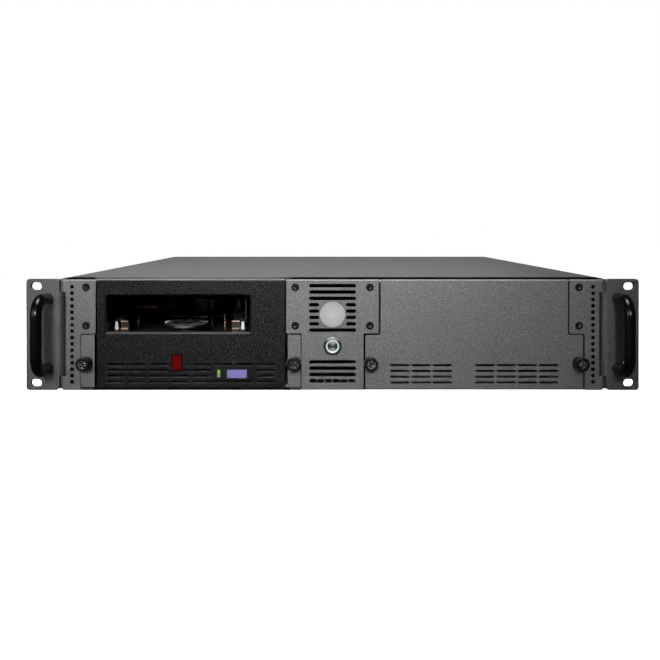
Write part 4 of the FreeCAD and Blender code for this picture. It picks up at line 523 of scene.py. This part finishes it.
# painted shade below 45 mm on the plates, painted highlights on their front and upper edges, and the brass pin painted
# bright at its top and dark at its foot
plate_shaded = w.ramp(n, (0.3, (0.009, 0.006, 0.004)), (0.7, (0.022, 0.015, 0.010)))
plate_shaded = w.mix(w.span(w.xyz("Z"), 0.0448, 0.0452, 1.0, 0.0), plate_shaded, (0.003, 0.0025, 0.002))
painted_glints = w.math("MULTIPLY", w.span(w.xyz("Y"), FACE + 0.0236, FACE + 0.0240, 1.0, 0.0), w.span(w.xyz("Z"), 0.0448, 0.0452, 0.0, 1.0))
painted_glints = w.math("MAXIMUM", painted_glints, w.math("MULTIPLY", w.span(nz.outputs["Z"], 0.4, 0.8, 0.0, 0.45), w.span(w.xyz("Z"), 0.0515, 0.0518, 0.0, 1.0)))
col = w.mix(painted_glints, plate_shaded, (0.40, 0.27, 0.19))
pin = w.inside("X", -0.1125, -0.1075, 0.0002)
brass_and_highlight = w.ramp(w.span(w.xyz("Z"), 0.0495, 0.0616, 0.0, 1.0), (0.0, (0.010, 0.007, 0.004)), (0.55, (0.16, 0.11, 0.065)), (0.84, (0.42, 0.29, 0.17)), (0.92, (0.90, 0.66, 0.42)))
w.set("Base Color", w.mix(pin, col, brass_and_highlight))
w.set("rough", w.span(n, 0.3, 0.7, 0.34, 0.46))
w.bump(n, 0.00001)

w = Mat("flex_amber", spec=0.5)
n = w.noise(700.0, 2.0)
stripe = w.cells(900.0, feature="F1", rnd=0.0)
w.set("Base Color", w.mix(w.span(stripe, 0.3, 0.5, 0.0, 0.6), w.ramp(n, (0.3, (0.30, 0.095, 0.022)), (0.7, (0.42, 0.145, 0.035))), (0.20, 0.06, 0.015)))
w.set("rough", w.span(n, 0.3, 0.7, 0.22, 0.34))

w = Mat("dark_sheet", metal=0.0, spec=0.12)
n = w.noise(900.0, 3.0, 0.6)
w.set("Base Color", w.ramp(n, (0.3, (0.0020, 0.0020, 0.0021)), (0.7, (0.0050, 0.0050, 0.0051))))
w.set("rough", w.span(n, 0.3, 0.7, 0.42, 0.56))

w = Mat("psu_sheet", metal=1.0)
brush = w.noise(240.0, 3.0, 0.6, vec=w.scaled(18.0, 1.0, 1.0))
w.set("Base Color", w.ramp(brush, (0.3, (0.38, 0.39, 0.40)), (0.7, (0.50, 0.51, 0.52))))
w.set("rough", w.span(brush, 0.3, 0.7, 0.34, 0.48))

w = Mat("guard_wire", metal=1.0)
n = w.noise(1100.0, 3.0, 0.6)
w.set("Base Color", w.ramp(n, (0.3, (0.52, 0.52, 0.53)), (0.7, (0.66, 0.66, 0.67))))
w.set("rough", w.span(n, 0.3, 0.7, 0.18, 0.30))


# ---------------------------------------------------------------- studio
def area(name, loc, aim, sx, sy, power, color=(1, 1, 1), spread=180):
    d = bpy.data.lights.new(name, "AREA")
    d.shape = "RECTANGLE"
    d.size, d.size_y = sx, sy
    d.energy = power
    d.color = color
    d.spread = math.radians(spread)
    o = bpy.data.objects.new(name, d)
    scene.collection.objects.link(o)
    o.location = loc
    o.rotation_euler = (Vector(aim) - Vector(loc)).to_track_quat("-Z", "Y").to_euler()
    return o


area("key_softbox", (-0.10, -1.74, 0.62), (-0.056, -0.22, 0.142), 0.50, 0.38, 1.02, spread=19.5)
area("left_fill", (-1.25, -1.25, 0.42), (-0.12, -0.22, 0.05), 0.9, 0.7, 2.4, spread=90)
area("top_softbox", (-0.17, -0.30, 1.45), (-0.07, -0.20, 0.05), 0.8, 0.7, 4.1, spread=62)
area("back_softbox", (-0.10, 1.60, 0.75), (-0.03, 0.0, 0.08), 1.4, 0.5, 2.2)

world = bpy.data.worlds.new("studio")
scene.world = world
world.use_nodes = True
wt = world.node_tree
wt.nodes.clear()
wo = wt.nodes.new("ShaderNodeOutputWorld")
cam_bg, lit_bg = wt.nodes.new("ShaderNodeBackground"), wt.nodes.new("ShaderNodeBackground")
cam_bg.inputs[0].default_value = (1, 1, 1, 1)
cam_bg.inputs[1].default_value = 1.0
lit_bg.inputs[0].default_value = (1, 1, 1, 1)
lit_bg.inputs[1].default_value = 0.05
wm = wt.nodes.new("ShaderNodeMixShader")
lp = wt.nodes.new("ShaderNodeLightPath")
wt.links.new(lp.outputs["Is Camera Ray"], wm.inputs[0])
wt.links.new(lit_bg.outputs[0], wm.inputs[1])
wt.links.new(cam_bg.outputs[0], wm.inputs[2])
wt.links.new(wm.outputs[0], wo.inputs[0])

mesh = bpy.data.meshes.new("studio_floor")
mesh.from_pydata([(-2.2, -2.4, 0), (2.2, -2.4, 0), (2.2, 1.1, 0), (-2.2, 1.1, 0)], [], [(0, 1, 2, 3)])
floor = bpy.data.objects.new("studio_floor", mesh)
scene.collection.objects.link(floor)
w = Mat("studio_paper", rough=0.9, spec=0.1)
w.set("Base Color", w.ramp(w.noise(3.0, 2.0), (0.3, 0.90), (0.7, 0.93)))
mesh.materials.append(w.m)
w.set("glow", 1.0)
w.set("Emission Color", (1.0, 1.0, 1.0))
floor.visible_glossy = False
floor.visible_diffuse = False
